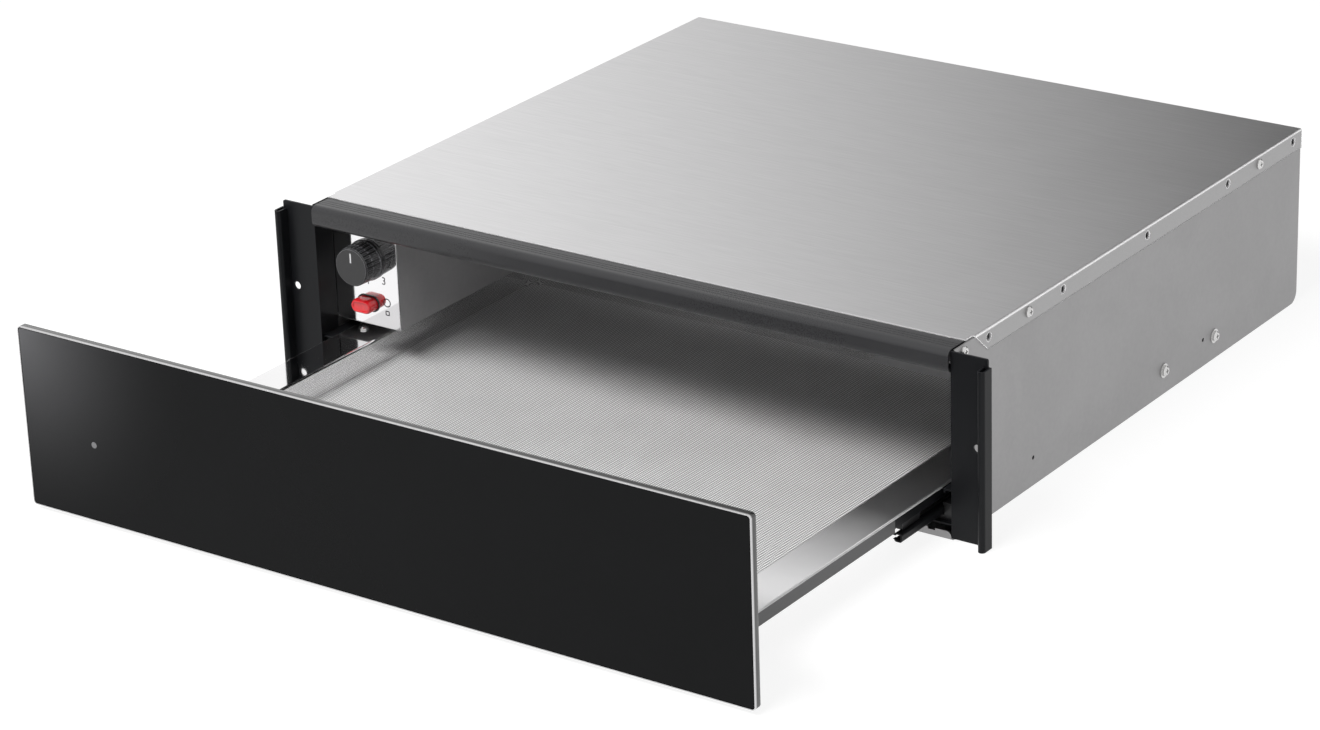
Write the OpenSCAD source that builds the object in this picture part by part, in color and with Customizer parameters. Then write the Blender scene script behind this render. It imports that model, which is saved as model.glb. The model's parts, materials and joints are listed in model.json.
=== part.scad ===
// Built-in warming drawer for a 14 cm niche, shown with the drawer pulled out.
// X runs from left to right, Y from front to back and Z up, in millimetres.
// The origin is the middle of the housing's lower front edge, in the brackets' front plane.

/* [Housing] */
// Width of the housing over the cover's side flanges
body_w = 542; // [536:1:550]
// Depth of the housing from the brackets' front face to its back
body_d = 495; // [490:1:540]
// Height of the housing
body_h = 137.5; // [134:0.5:142]
// Thickness of the housing's sheet steel
sheet_t = 0.8; // [0.7:0.1:1]
// Height of the cover's side flanges
flange_h = 15; // [12:0.5:18]
// Outer radius of the cover's folds
cover_fold_r = 1.6; // [1.2:0.1:2.5]
// Distance from the brackets' front face to the cover's front edge
cover_y = 17.5; // [16:0.5:19]
// Radius of the housing's lower back corners
foot_r = 9; // [6:0.5:12]
// Height of the base pan's rear upstand
upstand_h = 15; // [13:0.5:18]
// Width of the folds by which the sheets are joined
fold_w = 12; // [10:1:14]
// Height of the base pan's front tabs
tab_h = 5.5; // [4:0.5:7]
// Width of each front tab of the base pan
tab_w = 57; // [45:1:60]

/* [Front rail] */
// Height of the front rail
rail_h = 16; // [14:0.5:18]
// How far the front rail bulges forward of the brackets
rail_bulge = 3; // [2:0.5:4]
// Radius of the front rail's upper edge
nose_r = 5; // [3:0.5:6]
// Radius of the front rail's lower edge
curl_r = 6; // [5:0.5:7]
// Wall of the front rail
rail_wall = 1.4; // [1.2:0.1:2]

/* [Mounting brackets] */
// Sheet thickness of the mounting brackets
bracket_t = 1.5; // [1.2:0.1:2]
// Width of the mounting brackets beyond the housing
wing_w = 27.2; // [25:0.2:29]
// Gap between the brackets' top and the housing's top
bracket_gap = 1.8; // [1.5:0.1:6]
// How far the rolled edge stands forward of the bracket
hem_y = 9.5; // [7:0.5:11]
// Width of the rolled edge
hem_w = 5.4; // [5:0.1:6]
// Distance of the mounting screws from the brackets' outer edges
screw_in = 10.2; // [9:0.2:12]
// Height of the mounting screws above the housing's bottom
screw_z = 70.5; // [60:0.5:80]
// Diameter of the mounting screw holes
screw_hole = 6; // [4.5:0.5:7]

/* [Front panel] */
// Width of the front panel over its rim
front_w = 595.6; // [592:0.2:598]
// Gap between the front panel's top and the housing's top
front_gap = 1.9; // [0.5:0.1:4]
// Gap under the front panel, above the housing's bottom
front_z = 3.6; // [2:0.2:5]
// Depth of the front panel's rim
front_t = 6; // [5:0.5:8]
// Visible width of the rim round the glass
rim_w = 1.3; // [1:0.1:2]
// Corner radius of the front panel
front_r = 3; // [2:0.5:5]
// Thickness of the glass
glass_t = 4; // [3:0.5:4.5]
// Depth of the sheet backing behind the rim
backing_d = 12; // [10:0.5:12]
// Diameter of the indicator lens
lens_d = 4.6; // [3:0.2:6]
// Distance of the indicator lens from the front panel's left edge
lens_in = 61.4; // [58:0.2:66]
// Height of the indicator lens above the front panel's lower edge
lens_up = 57.4; // [50:0.2:62]

/* [Drawer tray] */
// How far the drawer stands open in the model
open_y = 260; // [200:5:300]
// Space between the closed tray and the housing's back
tray_back = 22; // [21:1:32]
// Height of the tray's ledge above the housing's bottom
ledge_z = 36; // [34:0.5:38]
// Width of the tray's ledge at each side
ledge_w = 30.5; // [26:0.5:34]
// Width of the tray's ledge at front and back
ledge_l = 11; // [10:0.5:14]
// Depth of the tray below its ledge
tray_depth = 22.5; // [20:0.5:23]
// Sheet thickness of the tray
tray_t = 0.8; // [0.6:0.1:1]
// Corner radius of the tray
tray_r = 12; // [8:1:20]
// Thickness of the mat
mat_t = 2; // [1.5:0.5:4]

/* [Runners] */
// Space between the tray's ledge and the side panel
runner_gap = 11.4; // [11:0.1:12]
// Sheet thickness of the runners
runner_t = 1.2; // [1:0.1:1.4]
// Width of the middle rail
mid_w = 6; // [5.6:0.1:6.4]
// Height of the middle rail
mid_h = 6.5; // [6:0.1:7]
// Space between the middle rails of the closed drawer and the housing's back
mid_back = 17; // [12:1:37]
// How far the middle rails stand out of the housing
mid_out = 45; // [38:1:60]
// Height of the skirt under the tray's ledge
skirt_h = 12.3; // [11.5:0.1:13]
// Length of the skirt's wall behind the front panel
skirt_l = 210; // [150:5:300]

/* [Control panel] */
// Distance from the brackets' front face to the control panel
fascia_y = 20; // [19.8:0.2:22]
// Width of the control box from the side panel's inner face
box_w = 59.4; // [58:0.2:64]
// Height of the control box's underside above the housing's bottom
box_z = 43.5; // [41:0.5:46]
// Space between the control box and the housing's back
box_back = 53.8; // [48:0.2:64]
// Diameter of the knob at its collar
knob_d = 31.4; // [28:0.2:34]
// How far the knob stands out from the control panel
knob_h = 18.7; // [16:0.1:19.4]
// Height of the knob's axis in the control box, as a share of its height
knob_z_share = 0.542; // [0.53:0.002:0.57]
// Distance of the knob's axis from the side panel's inner face
knob_x = 32; // [30:0.5:33]
// Width of the push button
button_w = 18; // [15:0.1:19]
// Height of the push button
button_h = 10.4; // [8:0.1:12]
// How far the button stands out from the control panel
button_out = 10; // [8:0.5:12]
// Travel of the push button
button_travel = 3; // [2:0.5:4]
// Height of the push button's axis in the control box, as a share of its height
button_z_share = 0.177; // [0.16:0.001:0.19]

/* [Air and heat] */
// Outer diameter of the fan wheel, as a share of the control box's height
wheel_d_share = 0.665; // [0.58:0.005:0.68]
// Width of the fan wheel's blades
wheel_w = 20; // [16:1:21]
// Number of blades on the fan wheel
blades = 26; // [12:1:30]
// Distance of the fan's axis from the control box's back
fan_back = 121.2; // [106:0.2:141]
// Diameter of the heater tube
heater_d = 6.4; // [5:0.2:6.6]
// Length of the heater between its outer bends
heater_l = 330; // [280:5:340]
// Pitch of the heater's legs
heater_pitch = 56; // [44:2:60]
// Diameter of the cable inlet's bore
inlet_d = 9; // [7:0.5:10]

/* [Hidden] */
$fn = 48;

// Clearances and overruns
fit = 0.3;          // gap between pieces that slide or sit loosely
run_fit = 0.05;     // gap round a shaft in its bearing
snug = 0.02;        // gap round a piece that is pushed home
over = 1;           // how far a cut runs past the face it opens

// Housing planes
side_out = body_w / 2 - sheet_t;
side_in = side_out - sheet_t;
deck_z = body_h - sheet_t;
back_y = body_d - sheet_t;

// Base pan: pressed beads between the heater's legs, and the front tabs
bead_shares = [-2.5, -1, 1, 2.5];
bead_w = 14;
bead_h = 1.4;
bead_l_share = 0.62;
tab_r_share = 0.7;
notch_shares = [0.68, 0.78];
notch_depth_share = 0.28;

// Cover
slant_top_y = 25.8;
slant_low_y = 42.4;
cover_lip_h = 11;
cover_edge_gap = 0.6;
vent_r = 3;
vent_inner_r = 2.2;
vent_drop = 6.4;
vent_z = body_h - vent_drop;
vent_shares = [0.0887, 0.287, 0.525, 0.766, 0.9725];
cover_screw_shares = [0.192, 0.8625];

// Back panel
back_slot_rows = 5;
back_slot_w = 34;
back_slot_h = 3;
back_slot_pitch = 9;
back_slot_x_share = 0.45;
back_slot_z_share = 0.42;
back_screw_shares = [0.25, 0.75];

// Pan head screws
head_r = 3.9;
head_h = 2.3;
head_edge_share = 0.55;
head_top_share = 0.72;
shank_r = 1.75;
shank_hole_r = 2.05;
screw_end = 3.5;
washer_r = 5.4;
washer_t = 0.8;
slot_r = 1.7;
slot_depth = 1.2;
slot_w = 0.7;

// Places on the side panels
rail_screw_shares = [0.5815, 0.7345];
rail_screw_z = 18.2;
pilot_shares = [0.209, 0.7005];
pilot_z = 20.8;
pilot_r = 1.5;
front_screw_y = 12.5;
front_screw_drop = 6;
front_screw_z = body_h - front_screw_drop;

// Mounting brackets
bracket_out = body_w / 2 + wing_w;
bracket_z = 1;
bracket_h = body_h - bracket_gap - bracket_z;
bracket_r = 1.5;
hem_t = 1.2;
hem_low = 0.5;
hem_drop = 5.7;
hem_high = bracket_z + bracket_h - hem_drop;
hem_gap = 0.4;
step_in = 2;
leg_gap = 0.5;
leg_y = fascia_y - leg_gap;
leg_rail_gap = 1;
leg_top_gap = 3;

// Front rail
rail_slot_share = 0.35;
rail_groove_shares = [0.28, 0.46, 0.64];
rail_groove_w = 0.5;
rail_groove_d = 0.4;

// Drawer, from its front to its back in the open position
panel_gap = 20;                          // from the brackets to the closed front's glass side
front_y = -(open_y + panel_gap);
rim_back = front_y + front_t;
tray_y0 = rim_back + backing_d;
tray_l = body_d - tray_back - tray_y0 - open_y;
tray_y1 = tray_y0 + tray_l;
tray_x = side_in - runner_gap;
well_x = tray_x - ledge_w;
well_y0 = tray_y0 + ledge_l;
well_y1 = tray_y1 - ledge_l;
floor_z = ledge_z - tray_depth;
under_ledge = ledge_z - tray_t;
ledge_r = 2;
tray_upstand = 20;
tray_screw_rise = 9;
tray_screw_z = ledge_z + tray_screw_rise;
tray_screw_shares = [-0.8, -0.28, 0.28, 0.8];
left_screw_shares = [0.604, 0.93];
right_screw_shares = [0.7, 0.93];
ledge_screw_in = 8;

// Front panel
front_h = body_h - front_z - front_gap;
glass_set = 0.4;
glass_gap = 0.05;
hold_w = 10;
hold_t = front_t - glass_set - glass_t;
lens_set = 0.1;
lens_lip = 1.2;
backing_side = 36;
backing_low = 5;
backing_high = 16.5;
backing_r = 6;
backing_foot = 30;
backing_foot_low = 1;
backing_foot_high = 7;

// Skirt and runners, seen in the XZ plane on the right side
skirt_t = 1;
skirt_in = 1.6;
skirt_x = tray_x - skirt_in;
skirt_low = under_ledge - skirt_h;
bead_r = 0.8;
bead_drop = 0.5;
skirt_flange = 17;
rail_x = skirt_x - skirt_t;
rail_drop = 11;
plate_z = ledge_z - rail_drop;
inner_leg_w = 7.4;
inner_leg_h = 5.5;
runner_y0 = tray_y0 + 4 * skirt_t;
runner_y1 = tray_y1 - 8 * skirt_t;
mid_lap = 0.8;
mid_x1 = skirt_x + mid_lap;
mid_x0 = mid_x1 - mid_w;
glide_h = 5.3;
mid_z1 = plate_z - fit - glide_h;
mid_z0 = mid_z1 - mid_h;
mid_zc = (mid_z0 + mid_z1) / 2;
mid_r = 1.6;
mid_wall = 1.1;
mid_inner_r = 0.8;
slit = 2.6;
nose_l = 3;
nose_t = 0.8;
hook_l = 60;
hook_t = 1;
hook_reach = 5;
mid_y0 = -mid_out;
mid_y1 = body_d - mid_back - open_y / 2;
glide_floor = 2.9;
rail_floor = mid_z0 - fit - glide_floor;
cab_drop = 1.5;
cab_top = ledge_z - cab_drop;
cab_lip = 8.2;
cab_curl = 2;
cab_y0 = 3;
cab_back_gap = 5;
cab_y1 = back_y - sheet_t - cab_back_gap;
cab_side = 1;
glide_l = 22;
glide_start = 8;
glide_y_share = 0.4485;
glide_y = [glide_start, body_d * glide_y_share];
glide_set = 6;
cradle_t = 1.9;
cradle_lap = 0.7;
stop_l = 10;
stop_h = 6;
stop_wall = 2;

// Control box
box_h = deck_z - box_z;
knob_z = box_z + box_h * knob_z_share;
button_z = box_z + box_h * button_z_share;
wheel_d = box_h * wheel_d_share;
box_x = -side_in + box_w;
fascia_t = 1.2;
box_y0 = fascia_y + fascia_t;
box_y1 = body_d - box_back;
box_l = box_y1 - box_y0;
fascia_r = 6;
fascia_lap = 6;
fascia_top = body_h - rail_h + fascia_lap;
fascia_gap = 0.2;
fascia_left = -side_in + fascia_gap;
dial_x = -side_in + knob_x;
switch_shift = 1;
switch_x = dial_x - switch_shift;
bush_r = 4.8;
bush_out = 3;
shaft_r = 3;
shaft_flat = 1.2;
thermo_w = 34;
thermo_h = 32;
thermo_d = 24;
thermo_r = 3;
thermo_rise = 2;
thermo_bore_share = 0.8;
thermo_shaft_share = 0.75;
tag_w = 5.4;
tag_t = 0.8;
tag_l = 8;
tag_pitch = 9;
knob_face_share = 0.925;
knob_body_share = 0.965;
collar_share = 0.14;
collar_edge_share = 0.7;
knob_step = 0.2;
knob_chamfer = 0.9;
knob_face_t = 4;
flutes = 30;
flute_r = 0.75;
flute_out = 0.25;
flute_gap = 0.5;
knob_recess = 1.2;
pointer_w = 1.1;
pointer_t = 0.6;
pointer_proud = 0.1;
pointer_shares = [0.11, 0.34];
bezel_w = 0.8;
bezel_h = 0.6;
switch_d = 26;
switch_side = 2.4;
switch_r = 1.5;
button_tail = 6;
button_edge = 0.6;

// Fan
fan_y = box_y1 - fan_back;
fan_z = (box_z + deck_z) / 2;
wheel_gap = 3.2;
wheel_plate_t = 1.4;
wheel_x1 = box_x - sheet_t - wheel_gap;
wheel_x0 = wheel_x1 - wheel_w;
blade_t = 0.9;
blade_trim = 0.3;
blade_root_share = 0.78;
blade_bow_share = 0.8;
blade_drop_share = 0.55;
wheel_ring_t = 1;
wheel_ring_share = 0.8;
hub_r = 7;
hub_l = 11;
fan_shaft_r = 2.5;
scroll_t = 1.4;
scroll_gap_share = 0.1;
scroll_grow_share = 0.22;
scroll_mouth = 4;
scroll_step = 10;
scroll_turn = 315;
full_turn = 360;
scroll_back_gap = 2.4;
scroll_side_gap = 0.2;
scroll_x0 = wheel_x0 - wheel_plate_t - scroll_back_gap;
scroll_x1 = box_x - sheet_t - scroll_side_gap;
motor_w = 44;
motor_gap = 2.2;
motor_x0 = -side_in + motor_gap;
motor_x1 = scroll_x0 - scroll_t;
motor_l = motor_x1 - motor_x0;
core_shares = [0.28, 0.76];
core_low_share = 0.31;
core_high_share = 0.36;
core_notch_share = 0.02;
coil_shares = [0.2, 0.84];
coil_low_share = 0.75;
coil_w_share = 0.55;
coil_r = 3;
rotor_r = 12;
rotor_gap = 0.5;
rotor_shares = [0.26, 0.78];
bridge_t = 2;
bridge_h = 12;
bridge_w_share = 0.8;
bearing_r = 6;
bearing_l = 1.6;
post_r = 2.2;
post_share = 0.35;
shaft_end_share = 0.04;
inlet_pitch = 7.6;
inlet_hole_r = 2.7;
inlet_rings = 3;
outlet_count = 9;
outlet_pitch = 6;
outlet_w = 3;
outlet_h = 42;
outlet_back = 62;
outlet_y = box_y1 - outlet_back;

// Heat sensor on the control box's inner wall
bulb_r = 3;
bulb_l_share = 0.167;
bulb_l = box_l * bulb_l_share;
capillary_r = 0.9;
capillary_l_share = 0.286;
capillary_l = box_l * capillary_l_share;
sensor_in = 2.5;
sensor_rise = 8;
sensor_clip_w = 5;
sensor_clip_shares = [0.17, 0.77];

// Heater, under the tray
heater_r = heater_d / 2;
heater_lift = 1.6;
heater_z = sheet_t + heater_lift + heater_r;
heater_y0_share = 0.1414;
heater_y0 = body_d * heater_y0_share;
heater_legs = 4;
heater_x0 = -heater_pitch * (heater_legs - 1) / 2;
cold_l = 26;
pin_l = 9;
pin_share = 0.45;
clip_t = 1;
clip_w = 12;
clip_ear = 7;
clip_slot_share = 0.6;
clip_shares = [0.2, 0.8];
cutout_r = 8;
cutout_h = 7;
cutout_ear = 15;
cutout_ear_share = 0.6;
cutout_tag_h = 2;
cutout_tag_x = 4;

// Back of the housing
inlet_in = 34;
inlet_x = -side_in + inlet_in;
inlet_drop = 33.5;
inlet_z = body_h - inlet_drop;
inlet_flange_r = 11;
inlet_body_r = 7.5;
inlet_flange_t = 2.5;
inlet_inside = 8;
nut_t = 4;
block_w = 30;
block_d = 15;
block_h = 18;
block_drop = 38;
block_z = inlet_z - block_drop;
block_poles = 3;
block_wire_r = 2;
block_wire_l = 6;
block_screw_r = 2.4;
block_screw_l = 3.5;
latch_w = 30;
latch_h = 14;
latch_z = 18;
latch_d = 19;
latch_wall = 3;
plunger_r = 4;
plunger_travel = 4;
plunger_edge = 1.5;
latch_end_gap = 1;
plunger_tip = well_y1 + tray_t + open_y + fit;

steel = [0.74, 0.75, 0.76];
polished = [0.86, 0.87, 0.88];
side_steel = [0.58, 0.58, 0.59];
black = [0.13, 0.13, 0.14];
rail_grey = [0.27, 0.27, 0.28];
skirt_grey = [0.5, 0.5, 0.51];
nylon = [0.85, 0.84, 0.8];
red = [0.8, 0.08, 0.1];
copper = [0.72, 0.45, 0.3];

// Extrudes a YZ outline along X from x0 to x1.
module along_x(x0, x1) {
    translate([x0, 0, 0]) rotate([90, 0, 90]) linear_extrude(x1 - x0) children();
}

// Extrudes an XZ outline along Y from y0 to y1.
module along_y(y0, y1) {
    translate([0, y1, 0]) rotate([90, 0, 0]) linear_extrude(y1 - y0) children();
}

// A box between two corners.
module block(a, b) {
    translate(a) cube(b - a);
}

// A 2D rectangle between two corners.
module rect(a, b) {
    translate(a) square(b - a);
}

// A 2D rectangle between two corners, with round corners of radius r.
module plate2d(a, b, r) {
    rect([a[0] + r, a[1]], [b[0] - r, b[1]]);
    rect([a[0], a[1] + r], [b[0], b[1] - r]);
    for (x = [a[0] + r, b[0] - r], y = [a[1] + r, b[1] - r]) translate([x, y]) circle(r);
}

// A 2D stadium, w long in X and h high.
module stadium(w, h) {
    square([w - h, h], center = true);
    for (s = [-1, 1]) translate([s * (w - h) / 2, 0]) circle(h / 2);
}

// Mirrors to the left what is drawn on the right.
module handed(left) {
    mirror([left ? 1 : 0, 0, 0]) children();
}

// Draws the right side's piece on both sides.
module both_sides() {
    for (left = [false, true]) handed(left) children();
}

// A cylinder along Y.
module rod_y(r, y0, y1) {
    translate([0, y1, 0]) rotate([90, 0, 0]) cylinder(r = r, h = y1 - y0);
}

// A cylinder along X.
module rod_x(r, x0, x1) {
    translate([x0, 0, 0]) rotate([0, 90, 0]) cylinder(r = r, h = x1 - x0);
}

// A pan head screw along +Z with its head above zero and its shank below.
module screw(shank_l, washer = false) {
    lift = washer ? washer_t : 0;
    edge = head_h * head_edge_share;
    if (washer) cylinder(r = washer_r, h = washer_t);
    difference() {
        union() {
            translate([0, 0, lift]) cylinder(r = head_r, h = edge);
            translate([0, 0, lift + edge]) cylinder(r1 = head_r, r2 = head_r * head_top_share, h = head_h - edge);
        }
        for (a = [0, 90]) rotate(a) block([-slot_r, -slot_w / 2, lift + head_h - slot_depth],
            [slot_r, slot_w / 2, lift + head_h + over]);
    }
    translate([0, 0, -shank_l]) cylinder(r = shank_r, h = shank_l + lift);
}

// Holes along X through the right side's sheets.
module side_holes(r, places) {
    for (p = places) translate([0, p[0], p[1]]) rod_x(r, side_in - bracket_t - over, body_w / 2 + over);
}

function side_screw_places() = [for (s = rail_screw_shares) [s * body_d, rail_screw_z]];
function cover_screw_places() = [for (s = cover_screw_shares) [s * body_d, vent_z]];
function vent_places() = [for (s = vent_shares) [s * body_d, vent_z]];
function pilot_places() = [for (s = pilot_shares) [s * body_d, pilot_z]];
function front_screw_places() = [[front_screw_y, front_screw_z]];
function back_screw_places() = [for (x = [-1, 1], s = back_screw_shares)
    [x * (side_in - fold_w / 2), s * body_h]];

// Floor, rear bend and rear upstand of the base pan in the YZ plane.
module pan_outline() {
    rect([0, 0], [body_d - foot_r, sheet_t]);
    translate([body_d - foot_r, foot_r]) intersection() {
        difference() {
            circle(foot_r);
            circle(foot_r - sheet_t);
        }
        translate([0, -foot_r]) square(foot_r);
    }
    rect([back_y, foot_r], [body_d, upstand_h]);
}

module base_pan() color(side_steel) {
    difference() {
        union() {
            along_x(-side_in, side_in) pan_outline();
            for (s = bead_shares) pan_bead(s * heater_pitch, bead_w, 0);
            both_sides() base_tab();
        }
        for (s = bead_shares) pan_bead(s * heater_pitch, bead_w - 2 * sheet_t, sheet_t);
    }
}

// A pressed stiffening bead in the base pan, or its hollow a sheet's thickness lower.
module pan_bead(x, w, lower) {
    translate([x, body_d / 2, -lower]) linear_extrude(sheet_t + bead_h) rotate(90) stadium(body_d * bead_l_share, w);
}

// The tab that stands up at the base pan's front edge.
module base_tab() {
    tab_r = tab_h * tab_r_share;
    x1 = side_in - bracket_t - fit;
    x0 = x1 - tab_w;
    along_y(0, sheet_t) difference() {
        union() {
            rect([x0, 0], [x1, tab_h - tab_r]);
            rect([x0 + tab_r, 0], [x1 - tab_r, tab_h]);
            for (x = [x0 + tab_r, x1 - tab_r]) translate([x, tab_h - tab_r]) intersection() {
                circle(tab_r);
                rect([-tab_r, 0], [tab_r, tab_r]);
            }
        }
        rect([x0 + tab_w * notch_shares[0], tab_h * (1 - notch_depth_share)],
            [x0 + tab_w * notch_shares[1], tab_h + over]);
    }
}

module side_panel(left) color(side_steel) handed(left) {
    fold_y = cover_y + sheet_t + fit;
    edge_r = cover_fold_r - sheet_t + snug;
    difference() {
        union() {
            along_x(side_in, side_out) difference() {
                rect([bracket_t, 0], [body_d, deck_z]);
                difference() {
                    rect([body_d - foot_r, -over], [body_d + over, foot_r]);
                    translate([body_d - foot_r, foot_r]) circle(foot_r);
                }
            }
            // folds at the top, the bottom and the back
            block([side_in - fold_w, fold_y, deck_z - sheet_t], [side_in, back_y, deck_z]);
            block([side_in - fold_w, fold_y, sheet_t], [side_in, body_d - foot_r - sheet_t, 2 * sheet_t]);
            block([side_in - fold_w, back_y - sheet_t, upstand_h], [side_in, back_y, deck_z]);
        }
        side_holes(shank_hole_r, concat(side_screw_places(), cover_screw_places(), front_screw_places()));
        side_holes(vent_inner_r, vent_places());
        side_holes(pilot_r, pilot_places());
        for (p = back_screw_places()) translate([p[0], 0, p[1]]) rod_y(shank_hole_r, back_y - sheet_t - over, body_d);
        // bend under the cover's fold
        translate([side_out - edge_r, 0, deck_z - edge_r]) along_y(0, body_d + over) difference() {
            square(edge_r + over);
            circle(edge_r);
        }
    }
}

module back_panel() color(side_steel) {
    along_y(back_y, body_d) difference() {
        rect([-side_in, upstand_h], [side_in, deck_z]);
        for (s = [-1, 1], i = [0 : back_slot_rows - 1])
            translate([s * back_slot_x_share * side_in, body_h * back_slot_z_share + i * back_slot_pitch])
                stadium(back_slot_w, back_slot_h);
        for (p = back_screw_places()) translate(p) circle(shank_hole_r);
        translate([inlet_x, inlet_z]) circle(inlet_body_r + snug);
    }
}

module back_screws() color(steel) {
    for (p = back_screw_places()) translate([p[0], body_d, p[1]]) rotate([-90, 0, 0]) screw(2 * sheet_t + screw_end);
}

// A block with round upper edges, in the XZ plane, from which the cover's section is cut.
module cover_block(x, low, high, r) {
    rect([-x, low], [x, high - r]);
    rect([-x + r, low], [x - r, high]);
    for (s = [-1, 1]) translate([s * (x - r), high - r]) circle(r);
}

module top_cover() color(steel) {
    front_x = side_in - cover_edge_gap;
    low = body_h - flange_h;
    // top sheet with a rounded fold into each side flange, whose front end is cut at a slant
    difference() {
        along_y(slant_top_y, body_d) difference() {
            cover_block(body_w / 2, low, body_h, cover_fold_r);
            cover_block(side_out, low - over, deck_z, cover_fold_r - sheet_t);
        }
        both_sides() along_x(body_w / 2 - cover_fold_r, body_w / 2 + over)
            polygon([[slant_top_y - over, low - over], [slant_low_y, low - over], [slant_low_y, low],
                [slant_top_y, body_h], [slant_top_y - over, body_h]]);
        both_sides() side_holes(shank_hole_r, cover_screw_places());
        both_sides() side_holes(vent_r, vent_places());
    }
    block([-front_x, cover_y, deck_z], [front_x, slant_top_y + over, body_h]);
    block([-front_x + fold_w, cover_y, deck_z - cover_lip_h], [front_x - fold_w, cover_y + sheet_t, deck_z]);
}

module cover_screws() color(steel) {
    both_sides() {
        for (p = cover_screw_places()) translate([body_w / 2, p[0], p[1]]) rotate([0, 90, 0])
            screw(2 * sheet_t + screw_end);
        for (p = front_screw_places()) translate([side_out, p[0], p[1]]) rotate([0, 90, 0])
            screw(sheet_t + bracket_t + screw_end);
    }
}

module side_screws() color(steel) {
    both_sides() for (p = side_screw_places()) translate([side_out, p[0], p[1]]) rotate([0, 90, 0])
        screw(sheet_t + runner_t + screw_end, true);
}

// The rail's section, drawn in by d: round upper edge, bulging front and curled lower edge.
module rail_outline(d) {
    low = deck_z - rail_h;
    high = deck_z - d;
    front = d - rail_bulge;
    r = nose_r - d;
    curl_y = curl_r - rail_bulge;
    curl_z = low + sqrt(curl_r * curl_r - curl_y * curl_y);
    rect([front, curl_z], [cover_y - d, high - r]);
    rect([front + r, curl_z], [cover_y - d, high]);
    rect([curl_y, low + d], [cover_y - d, curl_z + over]);
    translate([front + r, high - r]) circle(r);
    intersection() {
        translate([curl_y, curl_z]) circle(curl_r - d);
        rect([front, low + d], [curl_y, curl_z]);
    }
}

module front_rail() color(rail_grey) {
    end_x = side_in - bracket_t - fit;
    slot_back = cover_y - rail_wall;
    along_x(-end_x, end_x) difference() {
        rail_outline(0);
        rail_outline(rail_wall);
        // the section is open underneath, behind its lower lip
        rect([slot_back - cover_y * rail_slot_share, deck_z - rail_h - over],
            [slot_back, deck_z - rail_h + rail_wall + snug]);
        for (g = rail_groove_shares)
            rect([cover_y * g, deck_z - rail_groove_d], [cover_y * g + rail_groove_w, deck_z + over]);
    }
}

// Plan view of the bracket's rolled outer edge.
module hem_outline() {
    r = hem_w / 2;
    x0 = bracket_out - hem_w;
    y0 = -hem_y + r;
    translate([x0 + r, y0]) intersection() {
        difference() {
            circle(r);
            circle(r - hem_t);
        }
        translate([-r, -r]) square([hem_w, r]);
    }
    rect([bracket_out - hem_t, y0], [bracket_out, bracket_t]);
    rect([x0, y0], [x0 + hem_t, -hem_gap]);
}

module bracket(left) color(black) handed(left) {
    x0 = side_in - bracket_t;
    x1 = bracket_out - step_in;
    top = bracket_z + bracket_h;
    difference() {
        union() {
            along_y(0, bracket_t) {
                plate2d([x0, bracket_z], [x1, top], bracket_r);
                rect([x0, bracket_z], [x0 + 2 * bracket_r, top]);
                rect([x0, bracket_z], [bracket_out, hem_high]);
            }
            translate([0, 0, hem_low]) linear_extrude(hem_high - hem_low) hem_outline();
            block([x0, 0, cab_top + leg_rail_gap], [side_in, leg_y, top - leg_top_gap]);
        }
        translate([bracket_out - screw_in, 0, screw_z]) rod_y(screw_hole / 2, -over, bracket_t + over);
        side_holes(shank_hole_r, front_screw_places());
    }
}

// Left edge, underside, inner wall and back of the control box, which the cover closes.
module control_box() color(side_steel) {
    difference() {
        union() {
            block([-side_in, box_y0, box_z], [box_x, box_y1, box_z + sheet_t]);
            block([box_x - sheet_t, box_y0, box_z], [box_x, box_y1, deck_z]);
            block([-side_in, box_y1 - sheet_t, box_z], [box_x, box_y1, deck_z - sheet_t]);
            block([-side_in, box_y0, box_z], [-side_in + sheet_t, box_y1, box_z + fold_w]);
        }
        for (p = inlet_places()) translate([0, p[0], p[1]]) rod_x(inlet_hole_r, box_x - sheet_t - over, box_x + over);
        for (i = [0 : outlet_count - 1]) translate([0, outlet_y + i * outlet_pitch, fan_z])
            along_x(box_x - sheet_t - over, box_x + over) rotate(90) stadium(outlet_h, outlet_w);
    }
}

// Air inlet holes over the fan, in rings round its axis.
function inlet_places() = concat([[fan_y, fan_z]], [for (ring = [1 : inlet_rings], i = [0 : 6 * ring - 1])
    [fan_y + ring * inlet_pitch * cos(60 * i / ring), fan_z + ring * inlet_pitch * sin(60 * i / ring)]]);

module fascia() color(polished) {
    along_y(fascia_y, fascia_y + fascia_t) difference() {
        union() {
            plate2d([fascia_left, box_z], [box_x, fascia_top], fascia_r);
            rect([box_x - 2 * fascia_r, box_z], [box_x, box_z + fascia_r]);
            rect([fascia_left, fascia_top - fascia_r], [box_x, fascia_top]);
        }
        translate([dial_x, knob_z]) circle(bush_r + run_fit);
        translate([switch_x, button_z]) button2d(fit);
    }
}

// Outline of the push button, grown by g.
module button2d(g) {
    stadium(button_w + 2 * g, button_h + 2 * g);
}

// A row of n flat terminals along X that stand out to the back.
module tags(n, pitch, y) {
    for (i = [0 : n - 1]) translate([(i - (n - 1) / 2) * pitch, y, 0])
        block([-tag_w / 2, -over, -tag_t / 2], [tag_w / 2, tag_l, tag_t / 2]);
}

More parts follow.
